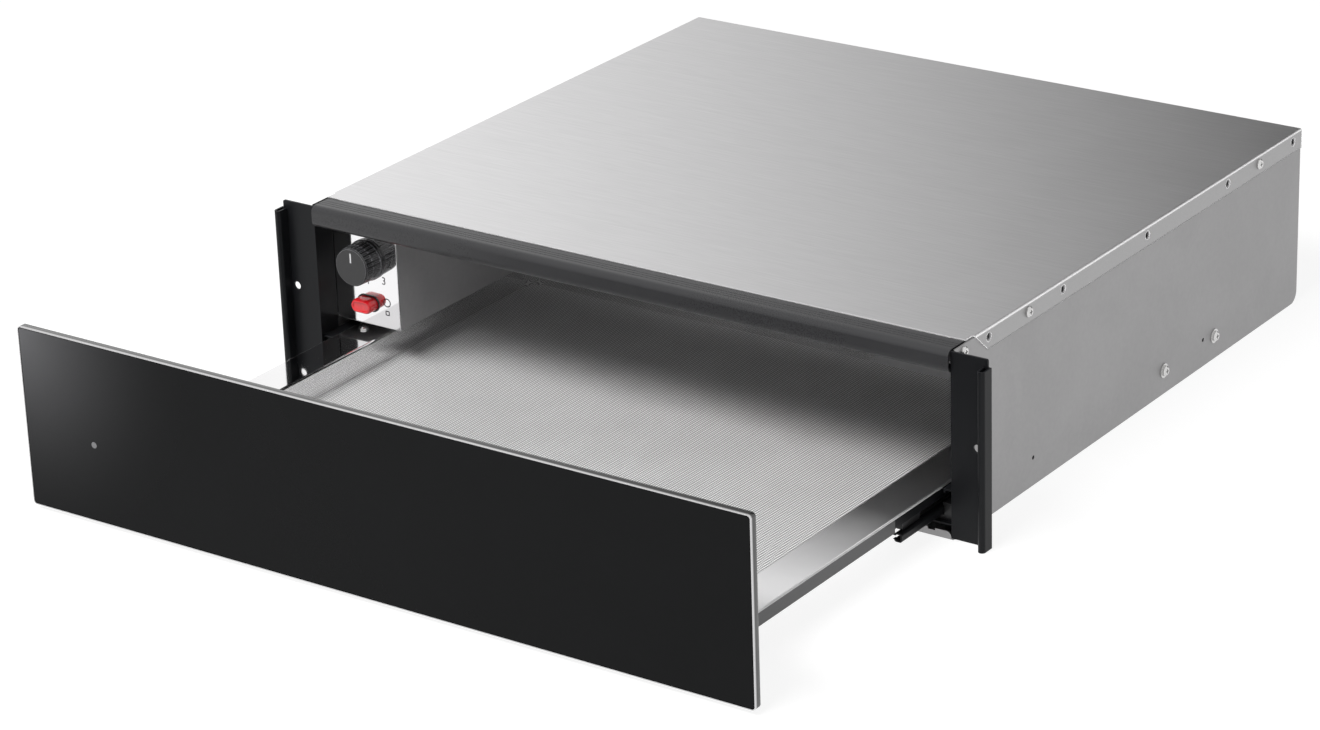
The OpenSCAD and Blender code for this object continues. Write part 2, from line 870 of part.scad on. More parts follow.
module thermostat() color(black) {
    y0 = fascia_y + fascia_t;
    translate([dial_x, 0, knob_z]) difference() {
        union() {
            along_y(y0, y0 + thermo_d) plate2d([-thermo_w / 2, -thermo_h / 2 + thermo_rise],
                [thermo_w / 2, thermo_h / 2 + thermo_rise], thermo_r);
            rod_y(bush_r, fascia_y - bush_out, y0 + over);
            translate([0, 0, -bush_r]) tags(3, tag_pitch, y0 + thermo_d);
        }
        rod_y(shaft_r + run_fit, fascia_y - bush_out - over, y0 + thermo_d * thermo_bore_share);
    }
}

module thermostat_shaft() color(steel) {
    translate([dial_x, 0, knob_z]) difference() {
        rod_y(shaft_r, fascia_y - knob_h + knob_face_t, fascia_y + fascia_t + thermo_d * thermo_shaft_share);
        // flat that turns with the knob
        block([-shaft_r, fascia_y - knob_h, shaft_r - shaft_flat],
            [shaft_r, fascia_y - bush_out - flute_gap, shaft_r + over]);
    }
}

// The knob: a chamfered face, two rows of flutes and a wider collar.
module knob() color(black) {
    r = knob_d / 2;
    face_r = r * knob_face_share;
    body_r = r * knob_body_share;
    collar = knob_h * collar_share;
    y_back = fascia_y - fit;
    y_front = fascia_y - knob_h;
    length = y_back - y_front;
    row_y = (y_front + knob_chamfer + y_back - collar) / 2;
    translate([dial_x, 0, knob_z]) difference() {
        rotate([90, 0, 0]) translate([0, 0, -y_back]) rotate_extrude() polygon([[0, 0], [r, 0],
            [r, collar * collar_edge_share], [body_r + knob_step, collar], [body_r, collar],
            [face_r, length - knob_chamfer], [face_r - knob_chamfer, length], [0, length]]);
        for (i = [0 : flutes - 1]) rotate([0, i * 360 / flutes, 0]) {
            translate([body_r + flute_out, 0, 0]) rod_y(flute_r, row_y + flute_gap, y_back - collar - flute_gap);
            translate([face_r + 2 * flute_out, 0, 0])
                rod_y(flute_r, y_front + knob_chamfer + flute_gap, row_y - flute_gap);
        }
        // recess over the bush, and the hole for the shaft
        rod_y(bush_r + knob_recess, fascia_y - bush_out - fit, y_back + over);
        difference() {
            rod_y(shaft_r + snug, y_front + knob_face_t, y_back + over);
            block([-shaft_r - over, y_front, shaft_r - shaft_flat + snug],
                [shaft_r + over, fascia_y - bush_out - flute_gap - snug, shaft_r + over]);
        }
        pointer_shape();
    }
}

// The pointer lies in a groove of the knob's face.
module pointer_shape() {
    y_front = fascia_y - knob_h;
    block([-pointer_w / 2, y_front - pointer_proud, knob_d * pointer_shares[0]],
        [pointer_w / 2, y_front + pointer_t, knob_d * pointer_shares[1]]);
}

module knob_pointer() color("white") {
    translate([dial_x, 0, knob_z]) pointer_shape();
}

module switch_body() color(black) {
    y0 = fascia_y + fascia_t;
    w = button_w + 2 * switch_side;
    h = button_h + 2 * switch_side;
    translate([switch_x, 0, button_z]) difference() {
        union() {
            along_y(y0, y0 + switch_d) plate2d([-w / 2, -h / 2], [w / 2, h / 2], switch_r);
            tags(2, tag_pitch, y0 + switch_d);
        }
        along_y(y0 - over, y0 + button_tail + button_travel + over) button2d(fit);
    }
}

module switch_bezel() color(black) {
    translate([switch_x, 0, button_z]) along_y(fascia_y - bezel_h, fascia_y) difference() {
        button2d(fit + bezel_w);
        button2d(fit);
    }
}

module switch_button() color(red) {
    y0 = fascia_y - button_out;
    translate([switch_x, 0, button_z]) {
        along_y(y0, y0 + button_edge) button2d(-button_edge);
        along_y(y0 + button_edge, fascia_y + fascia_t + button_tail) button2d(0);
    }
}

// Spiral outline of the fan scroll, which grows by its share over one turn.
function scroll_r(a) = wheel_d / 2 * (1 + scroll_gap_share + scroll_grow_share * a / full_turn);

module scroll_outline(d) {
    r1 = scroll_r(scroll_turn) - d;
    tip_z = r1 * sin(scroll_turn);
    mouth = scroll_r(full_turn) + scroll_mouth + d;
    polygon(concat([for (a = [0 : scroll_step : scroll_turn]) (scroll_r(a) - d) * [cos(a), sin(a)]],
        [[r1 * cos(scroll_turn), tip_z], [mouth, tip_z], [mouth, -d]]));
}

module fan_scroll() color(side_steel) {
    translate([0, fan_y, fan_z]) difference() {
        along_x(scroll_x0 - scroll_t, scroll_x1) scroll_outline(0);
        along_x(scroll_x0, scroll_x1 + over) scroll_outline(scroll_t);
        rod_x(fan_shaft_r + scroll_t, scroll_x0 - scroll_t - over, scroll_x0 + over);
    }
}

// One forward curved blade: part of a ring whose centre lies off the axis.
module blade_outline() {
    r1 = wheel_d / 2 - blade_trim;
    r0 = r1 * blade_root_share;
    bow = (r1 - r0) * blade_bow_share;
    intersection() {
        difference() {
            circle(r1);
            circle(r0);
        }
        translate([(r0 + r1) / 2, -bow * blade_drop_share]) difference() {
            circle(bow);
            circle(bow - blade_t);
            rect([-2 * bow, -2 * bow], [2 * bow, 0]);
        }
    }
}

module fan_wheel() color(steel) {
    r1 = wheel_d / 2;
    translate([0, fan_y, fan_z]) {
        along_x(wheel_x0 - wheel_plate_t / 2, wheel_x1 - wheel_ring_t / 2)
            for (i = [0 : blades - 1]) rotate(i * 360 / blades) blade_outline();
        difference() {
            union() {
                rod_x(r1, wheel_x0 - wheel_plate_t, wheel_x0);
                rod_x(hub_r, wheel_x0 - wheel_plate_t, wheel_x0 + hub_l);
            }
            rod_x(fan_shaft_r + snug, wheel_x0 - wheel_plate_t - over, wheel_x0 + hub_l + over);
        }
        difference() {
            rod_x(r1, wheel_x1 - wheel_ring_t, wheel_x1);
            rod_x(r1 * wheel_ring_share, wheel_x1 - wheel_ring_t - over, wheel_x1 + over);
        }
    }
}

// The motor's shaft with its rotor.
module fan_shaft() color(steel) {
    translate([0, fan_y, fan_z]) {
        rod_x(fan_shaft_r, motor_x0 + motor_l * shaft_end_share, wheel_x0 + hub_l);
        rod_x(rotor_r, motor_x0 + motor_l * rotor_shares[0], motor_x0 + motor_l * rotor_shares[1]);
    }
}

// Shaded pole motor: laminated frame, two bearing bridges on posts and a coil below.
module fan_motor() color(side_steel) {
    half = motor_w / 2;
    core_low = -motor_w * core_low_share;
    core = [for (s = core_shares) motor_x0 + motor_l * s];
    coil = [for (s = coil_shares) motor_x0 + motor_l * s];
    translate([0, fan_y, fan_z]) {
        along_x(core[0], core[1]) difference() {
            rect([-half, core_low], [half, motor_w * core_high_share]);
            circle(rotor_r + rotor_gap);
        }
        bridge(motor_x0, motor_x0 + bridge_t, motor_x0 + bridge_t + bearing_l);
        bridge(motor_x1 - bridge_t, motor_x1, motor_x1 - bridge_t - bearing_l);
        for (s = [-1, 1], x = [[motor_x0 + bridge_t / 2, core[0]], [core[1], motor_x1 - bridge_t / 2]])
            translate([0, s * motor_w * post_share, 0]) rod_x(post_r, x[0], x[1]);
        along_x(coil[0], coil[1]) plate2d([-half * coil_w_share, -motor_w * coil_low_share],
            [half * coil_w_share, core_low + core_notch_share * motor_w], coil_r);
    }
}

// A bearing bridge from x0 to x1 with its bearing, which reaches to xb.
module bridge(x0, x1, xb) {
    half = motor_w / 2 * bridge_w_share;
    difference() {
        union() {
            along_x(x0, x1) plate2d([-half - post_r, -bridge_h / 2], [half + post_r, bridge_h / 2], coil_r);
            rod_x(bearing_r, min(x0, xb), max(x1, xb));
        }
        rod_x(fan_shaft_r + run_fit, min(x0, xb) - over, max(x1, xb) + over);
    }
}

// Heater tube in the XY plane: straight legs joined by half turns, drawn about its own middle.
module heater_tube() color([0.35, 0.34, 0.33]) {
    bend_r = heater_pitch / 2;
    y1 = heater_l / 2 - bend_r;
    translate([0, heater_y0 + heater_l / 2, heater_z]) {
        for (i = [0 : heater_legs - 1]) translate([heater_x0 + i * heater_pitch, 0, 0])
            rod_y(heater_r, i == 0 || i == heater_legs - 1 ? -y1 - cold_l : -y1, y1);
        for (i = [0 : heater_legs - 2]) translate([heater_x0 + (i + 0.5) * heater_pitch, i % 2 == 0 ? y1 : -y1, 0])
            rotate(i % 2 == 0 ? 0 : 180) rotate_extrude(angle = 180) translate([bend_r, 0]) circle(heater_r);
        // pins in the cold ends
        for (x = [heater_x0, -heater_x0]) translate([x, 0, 0])
            rod_y(heater_r * pin_share, -y1 - cold_l - pin_l, -y1);
    }
}

// Saddles that hold the heater above the base pan.
module heater_clips() color(steel) {
    for (s = clip_shares, i = [0 : heater_legs - 1])
        translate([heater_x0 + i * heater_pitch, heater_y0 + s * heater_l, 0]) difference() {
            union() {
                along_y(-clip_w / 2, clip_w / 2)
                    rect([-heater_r - clip_t, sheet_t], [heater_r + clip_t, heater_z]);
                block([-heater_r - clip_ear, -clip_w / 2, sheet_t],
                    [heater_r + clip_ear, clip_w / 2, sheet_t + clip_t]);
            }
            translate([0, 0, heater_z]) rod_y(heater_r + snug, -clip_w, clip_w);
            block([-heater_r * clip_slot_share, -clip_w, sheet_t + clip_t],
                [heater_r * clip_slot_share, clip_w, heater_z]);
        }
}

module thermal_cutout() color(black) {
    translate([0, heater_y0 + heater_l / 2, sheet_t]) {
        cylinder(r = cutout_r, h = cutout_h);
        linear_extrude(clip_t) stadium(2 * cutout_ear, 2 * cutout_r * cutout_ear_share);
        for (s = [-1, 1]) translate([s * cutout_tag_x, 0, cutout_h])
            block([-tag_t / 2, -tag_w / 2, -over], [tag_t / 2, tag_w / 2, cutout_tag_h]);
    }
}

module cable_gland() color(black) {
    translate([inlet_x, 0, inlet_z]) difference() {
        union() {
            rod_y(inlet_flange_r, body_d, body_d + inlet_flange_t);
            rod_y(inlet_body_r, back_y - inlet_inside, body_d + inlet_flange_t / 2);
            translate([0, back_y - nut_t, 0]) rotate([-90, 0, 0]) cylinder(r = inlet_flange_r, h = nut_t, $fn = 6);
        }
        rod_y(inlet_d / 2, back_y - inlet_inside - over, body_d + inlet_flange_t + over);
    }
}

module terminal_block() color(nylon) {
    y0 = back_y - block_d;
    pitch = block_w / block_poles;
    translate([inlet_x, 0, block_z]) difference() {
        block([-block_w / 2, y0, -block_h / 2], [block_w / 2, back_y, block_h / 2]);
        for (i = [0 : block_poles - 1]) translate([(i - (block_poles - 1) / 2) * pitch, 0, 0]) {
            rod_y(block_wire_r, y0 - over, y0 + block_wire_l);
            translate([0, (y0 + back_y) / 2, block_h / 2 - block_screw_l])
                cylinder(r = block_screw_r, h = block_screw_l + over);
        }
    }
}

// Thermostat bulb with its clips on the box's inner wall, and the straight capillary to it.
module heat_sensor() color(copper) {
    y0 = fascia_y + fascia_t + thermo_d;
    y1 = y0 + capillary_l;
    translate([dial_x + thermo_w / 2 - sensor_in, 0, knob_z + sensor_rise]) {
        rod_y(capillary_r, y0, y1);
        rod_y(bulb_r, y1, y1 + bulb_l);
        for (s = sensor_clip_shares) block([0, y1 + s * bulb_l, -bulb_r / 2],
            [box_x - sheet_t - dial_x - thermo_w / 2 + sensor_in, y1 + s * bulb_l + sensor_clip_w, bulb_r / 2]);
    }
}

// Section of the rail on the side panel: web, floor and a curled top.
module cabinet_rail(left) color(black) handed(left) {
    x1 = side_in;
    web_x = x1 - runner_t;
    difference() {
        along_y(cab_y0, cab_y1) {
            rect([web_x, rail_floor - runner_t], [x1, cab_top]);
            rect([mid_x0 - cab_side, rail_floor - runner_t], [x1, rail_floor]);
            rect([web_x - cab_lip, cab_top - runner_t], [x1, cab_top]);
            rect([web_x - cab_lip, cab_top - runner_t - cab_curl], [web_x - cab_lip + runner_t, cab_top]);
        }
        side_holes(shank_hole_r, side_screw_places());
    }
}

// Nylon cradles on the cabinet rails, which hold the middle rails.
module cabinet_glides() color(black) {
    both_sides() for (y = glide_y) along_y(y, y + glide_l) cradle_outline();
}

module cradle_outline() {
    web_x = side_in - runner_t;
    hook_z = mid_z1 + fit;
    rect([mid_x0, rail_floor], [web_x, mid_z0 - fit]);
    rect([mid_x1 + fit, rail_floor], [web_x, hook_z + cradle_t]);
    rect([mid_x1 - cradle_lap, hook_z], [web_x, hook_z + cradle_t]);
}

// The middle rail: a rounded tube that is slit on its inner side, with a flared nose.
module middle_rail(left) color(black) handed(left) {
    along_y(mid_y0, mid_y1) difference() {
        plate2d([mid_x0, mid_z0], [mid_x1, mid_z1], mid_r);
        plate2d([mid_x0 + mid_wall, mid_z0 + mid_wall], [mid_x1 - mid_wall, mid_z1 - mid_wall], mid_inner_r);
        rect([mid_x0 - over, mid_zc - slit / 2], [mid_x0 + mid_wall + snug, mid_zc + slit / 2]);
    }
    for (z = [[mid_z0 + mid_r, mid_zc - slit / 2], [mid_zc + slit / 2, mid_z1 - mid_r]])
        block([mid_x0 - nose_t, mid_y0, z[0]], [mid_x0 + mid_wall / 2, mid_y0 + nose_l, z[1]]);
}

// Blocks on the middle rail: one under the tray's rail, one on the cabinet rail.
module middle_glides(left) color(black) handed(left) {
    block([rail_x - inner_leg_w + runner_t + fit, mid_y0 + glide_set, mid_z1],
        [rail_x - runner_t - fit, mid_y0 + glide_set + glide_l, plate_z - fit]);
    block([mid_x0, mid_y1 - glide_l, rail_floor + fit], [mid_x1, mid_y1, mid_z0]);
}

// Section of the tray's own rail: a running plate between two legs.
module drawer_rail(left) color(black) handed(left) {
    x0 = rail_x - inner_leg_w;
    leg_low = plate_z - inner_leg_h;
    hook_z = mid_zc - hook_t / 2;
    along_y(runner_y0, runner_y1) {
        rect([rail_x - runner_t, plate_z], [rail_x, under_ledge - skirt_t]);
        rect([x0, plate_z], [rail_x, plate_z + runner_t]);
        rect([x0, leg_low], [x0 + runner_t, plate_z + runner_t]);
    }
    // hooks that keep the tray on the middle rail
    along_y(runner_y1 - hook_l, runner_y1) {
        rect([x0, hook_z], [x0 + runner_t, plate_z]);
        rect([x0, hook_z], [x0 + runner_t + hook_reach, hook_z + hook_t]);
    }
}

module drawer_glides() color(black) {
    both_sides() block([rail_x - inner_leg_w + runner_t, runner_y1 - glide_l, mid_z1 + fit],
        [rail_x - runner_t, runner_y1, plate_z]);
}

// Grey side skirt: a wall behind the front, and a flange with a bright bead along the whole tray.
module skirt(left) color(skirt_grey) {
    bead_z = under_ledge - bead_r - bead_drop;
    difference() {
        handed(left) {
            along_y(tray_y0, runner_y1) {
                rect([skirt_x - skirt_flange, under_ledge - skirt_t], [skirt_x, under_ledge]);
                rect([skirt_x - skirt_t, bead_z - bead_r], [skirt_x, under_ledge]);
                rect([skirt_x - skirt_t, bead_z - bead_r], [skirt_x + bead_drop, bead_z + bead_r]);
                translate([skirt_x + bead_drop, bead_z]) circle(bead_r);
            }
            block([skirt_x - skirt_t, tray_y0, skirt_low], [skirt_x, tray_y0 + skirt_l, under_ledge]);
        }
        ledge_holes();
    }
}

// Rounded outline of the tray's well, grown by g.
module well2d(g) {
    plate2d([-well_x - g, well_y0 - g], [well_x + g, well_y1 + g], tray_r + g);
}

function ledge_screw_places() = [for (x = [-1, 1], s = x < 0 ? left_screw_shares : right_screw_shares)
    [x * (skirt_x - ledge_screw_in), tray_y0 + s * tray_l]];

module ledge_holes() {
    for (p = ledge_screw_places()) translate([p[0], p[1], under_ledge - skirt_t - over])
        cylinder(r = shank_hole_r, h = tray_t + skirt_t + 2 * over);
}

module tray() color(polished) {
    difference() {
        union() {
            translate([0, 0, under_ledge]) linear_extrude(tray_t)
                plate2d([-tray_x, tray_y0], [tray_x, tray_y1], ledge_r);
            translate([0, 0, floor_z - tray_t]) linear_extrude(tray_depth) well2d(tray_t);
        }
        translate([0, 0, floor_z]) linear_extrude(tray_depth + over) well2d(0);
        ledge_holes();
    }
    // upstand that is screwed to the front
    along_y(tray_y0, tray_y0 + tray_t) difference() {
        rect([-well_x, under_ledge], [well_x, under_ledge + tray_upstand]);
        for (s = tray_screw_shares) translate([s * well_x, tray_screw_z]) circle(shank_hole_r);
    }
}

module ledge_screws() color(steel) {
    for (p = ledge_screw_places()) translate([p[0], p[1], ledge_z]) screw(tray_t + skirt_t + screw_end);
}

module mat() color([0.7, 0.7, 0.69]) {
    translate([0, 0, floor_z]) linear_extrude(mat_t) well2d(-fit);
}

// Outline of the front, drawn in by d on every side.
module front2d(d) {
    plate2d([-front_w / 2 + d, front_z + d], [front_w / 2 - d, front_z + front_h - d], max(front_r - d, fit));
}

module front_frame() color(polished) {
    along_y(front_y, rim_back) difference() {
        front2d(0);
        front2d(rim_w);
    }
    along_y(rim_back - hold_t, rim_back) difference() {
        front2d(rim_w / 2);
        front2d(rim_w + hold_w);
    }
}

module glass_front() color([0.03, 0.03, 0.04]) {
    y0 = front_y + glass_set;
    difference() {
        along_y(y0, y0 + glass_t) front2d(rim_w + glass_gap);
        lens_place() rod_y(lens_d / 2 + run_fit, y0 - over, y0 + glass_t + over);
    }
}

// In line with the lit push button when the drawer is shut.
module lens_place() {
    translate([-front_w / 2 + lens_in, 0, front_z + lens_up]) children();
}

module indicator_lens() color([0.5, 0.5, 0.5]) {
    y1 = front_y + glass_set + glass_t;
    lens_place() {
        rod_y(lens_d / 2, front_y + glass_set - lens_set, tray_y0);
        rod_y(lens_d / 2 + lens_lip, y1, y1 + lens_lip);
    }
}

// Pressed sheet pan behind the glass, open towards it.
module front_backing() color(side_steel) {
    x = front_w / 2 - backing_side;
    z0 = front_z + backing_low;
    z1 = front_z + front_h - backing_high;
    difference() {
        union() {
            along_y(rim_back, tray_y0) difference() {
                plate2d([-x, z0], [x, z1], backing_r);
                backing_inside(x, z0, z1);
            }
            along_y(tray_y0 - sheet_t, tray_y0) plate2d([-x, z0], [x, z1], backing_r);
            // foot that is glued to the rim
            along_y(rim_back, rim_back + sheet_t) difference() {
                plate2d([-x - backing_foot, z0 - backing_foot_low],
                    [x + backing_foot, z1 + backing_foot_high], backing_r);
                backing_inside(x, z0, z1);
            }
        }
        for (s = tray_screw_shares) translate([s * well_x, 0, tray_screw_z])
            rod_y(shank_hole_r, tray_y0 - sheet_t - over, tray_y0 + over);
        lens_place() rod_y(lens_d / 2 + fit, rim_back - over, tray_y0 + over);
    }
}

module backing_inside(x, z0, z1) {
    plate2d([-x + sheet_t, z0 + sheet_t], [x - sheet_t, z1 - sheet_t], backing_r - sheet_t);
}

module front_screws() color(steel) {
    for (s = tray_screw_shares) translate([s * well_x, tray_y0 + tray_t, tray_screw_z]) rotate([-90, 0, 0])
        screw(tray_t + sheet_t + screw_end);
}

// Rubber buffers behind the drawer rails of the closed drawer.
module stop_buffers() color(black) {
    x0 = rail_x - inner_leg_w;
    x1 = side_in - runner_t;
    y0 = runner_y1 + open_y + fit;
    both_sides() along_y(y0, y0 + stop_l) difference() {
        rect([x0, plate_z], [x1, plate_z + stop_h]);
        rect([x0 + stop_wall, plate_z + stop_wall], [x1 - stop_wall, plate_z + stop_h - stop_wall]);
    }
}

module latch_body() color(black) {
    y0 = back_y - latch_d;
    difference() {
        block([-latch_w / 2, y0, latch_z], [latch_w / 2, back_y, latch_z + latch_h]);
        translate([0, 0, latch_z + latch_h / 2]) rod_y(plunger_r + run_fit, y0 - over, back_y - latch_wall);
    }
}

module latch_plunger() color(nylon) {
    translate([0, 0, latch_z + latch_h / 2]) {
        rod_y(plunger_r, plunger_tip + plunger_edge, back_y - latch_wall - plunger_travel - latch_end_gap);
        translate([0, plunger_tip + plunger_edge, 0]) rotate([90, 0, 0])
            cylinder(r1 = plunger_r, r2 = plunger_r - plunger_edge, h = plunger_edge);
    }
}

base_pan();
side_panel(true);  // side_panel_left
side_panel(false);  // side_panel_right
back_panel();
top_cover();
front_rail();
bracket(true);  // bracket_left
bracket(false);  // bracket_right
control_box();
fascia();
thermostat();
switch_body();
switch_bezel();
fan_scroll();
fan_motor();
heater_tube();
heater_clips();
thermal_cutout();
terminal_block();
cable_gland();
heat_sensor();
cabinet_rail(true);  // cabinet_rail_left
cabinet_rail(false);  // cabinet_rail_right
cabinet_glides();
stop_buffers();
latch_body();
cover_screws();
side_screws();
back_screws();
tray();
mat();
skirt(true);  // skirt_left
skirt(false);  // skirt_right
drawer_rail(true);  // drawer_rail_left
drawer_rail(false);  // drawer_rail_right
drawer_glides();
front_backing();
front_frame();
glass_front();
indicator_lens();
ledge_screws();
front_screws();
middle_rail(true);  // middle_rail_left
middle_rail(false);  // middle_rail_right
middle_glides(true);  // middle_glides_left
middle_glides(false);  // middle_glides_right
knob();
knob_pointer();
thermostat_shaft();
switch_button();
fan_wheel();
fan_shaft();
latch_plunger();
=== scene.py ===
"""Finishes the built-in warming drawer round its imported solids.

It makes the finishes, the pressed tray, the bright rim, the button cap, the dial print and the studio.
Lengths are in metres. X runs to the right, Y to the back and Z up, as in the frame.
"""

import json
import math

import bmesh
import bpy
from mathutils import Matrix, Vector


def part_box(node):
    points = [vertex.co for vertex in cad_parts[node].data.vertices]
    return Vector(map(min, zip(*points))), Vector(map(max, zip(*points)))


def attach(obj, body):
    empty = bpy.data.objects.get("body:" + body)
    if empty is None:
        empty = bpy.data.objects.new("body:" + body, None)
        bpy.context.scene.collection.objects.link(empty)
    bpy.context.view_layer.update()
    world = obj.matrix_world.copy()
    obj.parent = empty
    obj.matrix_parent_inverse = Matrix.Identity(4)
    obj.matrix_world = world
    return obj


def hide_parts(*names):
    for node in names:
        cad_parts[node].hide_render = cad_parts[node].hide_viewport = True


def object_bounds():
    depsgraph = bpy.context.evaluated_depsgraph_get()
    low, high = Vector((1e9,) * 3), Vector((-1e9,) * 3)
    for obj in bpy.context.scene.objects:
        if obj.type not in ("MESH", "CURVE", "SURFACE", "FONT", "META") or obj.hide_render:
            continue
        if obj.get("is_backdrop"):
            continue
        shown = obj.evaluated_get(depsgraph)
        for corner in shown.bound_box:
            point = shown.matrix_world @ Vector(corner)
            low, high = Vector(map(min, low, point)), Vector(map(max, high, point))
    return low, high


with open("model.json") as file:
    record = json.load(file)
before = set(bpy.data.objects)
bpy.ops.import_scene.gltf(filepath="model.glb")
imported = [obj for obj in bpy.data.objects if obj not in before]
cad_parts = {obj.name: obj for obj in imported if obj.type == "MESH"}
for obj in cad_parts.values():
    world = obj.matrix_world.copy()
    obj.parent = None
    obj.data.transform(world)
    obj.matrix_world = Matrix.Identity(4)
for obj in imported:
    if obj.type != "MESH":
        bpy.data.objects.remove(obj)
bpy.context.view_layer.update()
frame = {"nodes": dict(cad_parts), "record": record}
MILLIMETRE = 0.001

bl_info = {
    "name": "Warming Drawer",
    "version": (1, 0, 0),
    "blender": (4, 5, 0),
    "location": "View3D > Sidebar > Drawer",
    "description": "Finishes a built-in warming drawer round its packed solids",
    "category": "Object",
}


def plain(name, description, default, **limits):
    """A number."""
    return bpy.props.FloatProperty(name=name, description=description, default=default, **limits)


def length(name, description, default):
    """A length that isn't negative."""
    return plain(name, description, default, min=0, unit="LENGTH", precision=4)


def share(name, description, default):
    """A share from 0 to 1."""
    return plain(name, description, default, min=0, max=1, subtype="FACTOR")


def lengths(name, description, default):
    """A point, or the sides of a piece."""
    return bpy.props.FloatVectorProperty(name=name, description=description, default=default,
                                         size=len(default), unit="LENGTH")


def colour(name, description, default):
    """A linear colour."""
    return bpy.props.FloatVectorProperty(name=name, description=description, default=default, size=3,
                                         subtype="COLOR", min=0, max=1)


class DrawerSizes(bpy.types.PropertyGroup):
    """Sizes of the pieces that are made here, and of the edges that light rounds."""

    edge: length("Edge radius", "Radius by which light rounds the folded sheets' edges", 0.00035)
    panel_edge: length("Panel edge", "Radius by which light rounds the control panel's edges", 0.0009)
    fold_edge: length("Fold", "Radius by which light rounds the cover's folds", 0.0013)
    moulding_edge: length("Moulding edge", "Radius by which light rounds the mouldings' edges", 0.00045)
    knob_edge: length("Knob edge", "Radius by which light rounds the knob's edges", 0.00055)

    tray_bend: length("Tray bend", "Radius of the bends at the tray's ledge and floor", 0.0018)
    tray_sheet: length("Tray sheet", "Thickness of the tray's sheet", 0.0008)
    tray_corner: length("Tray corner", "Radius of the tray's four upright corners", 0.012)
    tray_play: length("Mat play", "Gap round the mat", 0.0003)
    ledge_corner: length("Ledge corner", "Radius of the ledge's corners", 0.002)
    screw_head: length("Screw head", "Height of the screws' heads over the ledge", 0.0023)
    upstand_back: length("Upstand", "How far the upstand stands behind the tray's front", 0.0008)

    rim: length("Rim width", "Visible width of the bright rim round the glass", 0.0008)
    rim_hold: length("Rim flange", "Width of the flange behind the glass", 0.010)
    rim_sheet: length("Rim sheet", "Thickness of the flange behind the glass", 0.0016)
    rim_corner: length("Rim corner", "Outer radius of the rim's corners", 0.003)
    rim_corner_least: length("Rim inner corner", "Smallest radius inside the rim", 0.0008)
    rim_bevel: length("Rim bevel", "Bevel on the rim's edges", 0.00035)

    dot_pitch: length("Dot pitch", "Distance between the mat's dots", 0.0020)

    cap_dish: length("Cap dish", "Depth of the dish in the button's face", 0.0009)
    cap_bevel: length("Cap bevel", "Round edge of the button's face", 0.0009)
    cap_step: length("Cap step", "How far the cap narrows at its step", 0.00035)
    cap_step_back: length("Step's back", "Distance from the face to the back of the step", 0.0022)
    cap_step_front: length("Step's front", "Distance from the face to the front of the step", 0.0019)
    cap_lip: length("Cap lip", "Distance from the cap's side to the edge of the dish", 0.0018)
    cap_slope: length("Cap slope", "Distance from the cap's side to the floor of the dish", 0.00234)
    cap_round: length("Cap round", "Bevel on the cap's other edges", 0.0002)

    print_height: length("Print height", "Height of the numbers round the knob", 0.0084)
    print_line: length("Print line", "Width of the printed lines", 0.0008)
    print_lift: length("Print lift", "How far the print stands on the control panel", 0.00004)
    number_gap: length("Number gap", "Distance from the knob to the middle of a number", 0.0046)
    stroke_from: length("Stroke's start", "Distance from the knob to the scale's strokes", 0.0012)
    stroke_to: length("Stroke's end", "Distance from the knob to the far end of the strokes", 0.0034)
    mark_side: length("Marks", "Distance from the button's middle to the marks on its right", 0.0172)
    ring_up: length("Ring's height", "Height of the ring over the button's middle", 0.0033)
    ring_radius: length("Ring", "Outer radius of the printed ring", 0.0034)
    square_down: length("Square's drop", "Drop of the square under the button's middle", 0.0048)
    square_side: length("Square", "Side of the printed square", 0.003)


class DrawerColours(bpy.types.PropertyGroup):
    """Colours of the finishes."""

    cover: colour("Cover", "Brushed stainless cover", (0.74, 0.735, 0.74))
    sheet: colour("Sheet", "Dull galvanised sheet", (0.317, 0.314, 0.317))
    mirror: colour("Mirror", "Mirror polished stainless", (0.83, 0.825, 0.83))
    skirt: colour("Skirt", "Grey skirts of the drawer", (0.085, 0.085, 0.087))
    # a painted highlight along the skirts' top edge
    bead: colour("Bead", "Bright bead along the skirts", (0.8, 0.8, 0.8))
    enamel: colour("Enamel", "Black brackets and runners", (0.0095, 0.0100, 0.0112))
    rim: colour("Rim", "Satin rim round the glass", (0.60, 0.595, 0.60))
    rim_back: colour("Rim's back", "Dark rear half of the rim", (0.10, 0.10, 0.10))
    # a lighter copy of the sheet's colour, which paints light into the shaded housing
    box: colour("Box", "Control box, seen inside the housing", (0.42, 0.415, 0.42))
    rail: colour("Rail", "Dark rail over the opening", (0.034, 0.034, 0.036))
    moulding: colour("Moulding", "Black mouldings and the knob", (0.016, 0.016, 0.017))
    cap: colour("Cap", "Red push button", (0.72, 0.014, 0.022))
    inlay: colour("Inlay", "White pointer", (0.86, 0.86, 0.86))
    ink: colour("Ink", "Print on the control panel", (0.02, 0.02, 0.022))
    glass: colour("Glass", "Black glass of the front", (0.0038, 0.0040, 0.0044))
    # a painted reflection at the glass's upper left corner
    sheen: colour("Sheen", "The glass at its upper left corner", (0.13, 0.13, 0.135))
    window: colour("Window", "Smoked window over the lamp", (0.16, 0.16, 0.165))
    mat: colour("Mat", "Dotted mat in the tray", (0.66, 0.65, 0.655))
    buffer: colour("Buffer", "Rubber buffers", (0.02, 0.02, 0.02))
    zinc: colour("Zinc", "Bright zinc screws", (0.66, 0.655, 0.65))
    wheel: colour("Wheel", "Aluminium fan wheel", (0.70, 0.71, 0.72))
    heater: colour("Heater", "Heat darkened heater tube", (0.17, 0.15, 0.14))
    copper: colour("Copper", "Bare copper sensor", (0.72, 0.40, 0.26))
    nylon: colour("Nylon", "Natural nylon", (0.70, 0.67, 0.60))


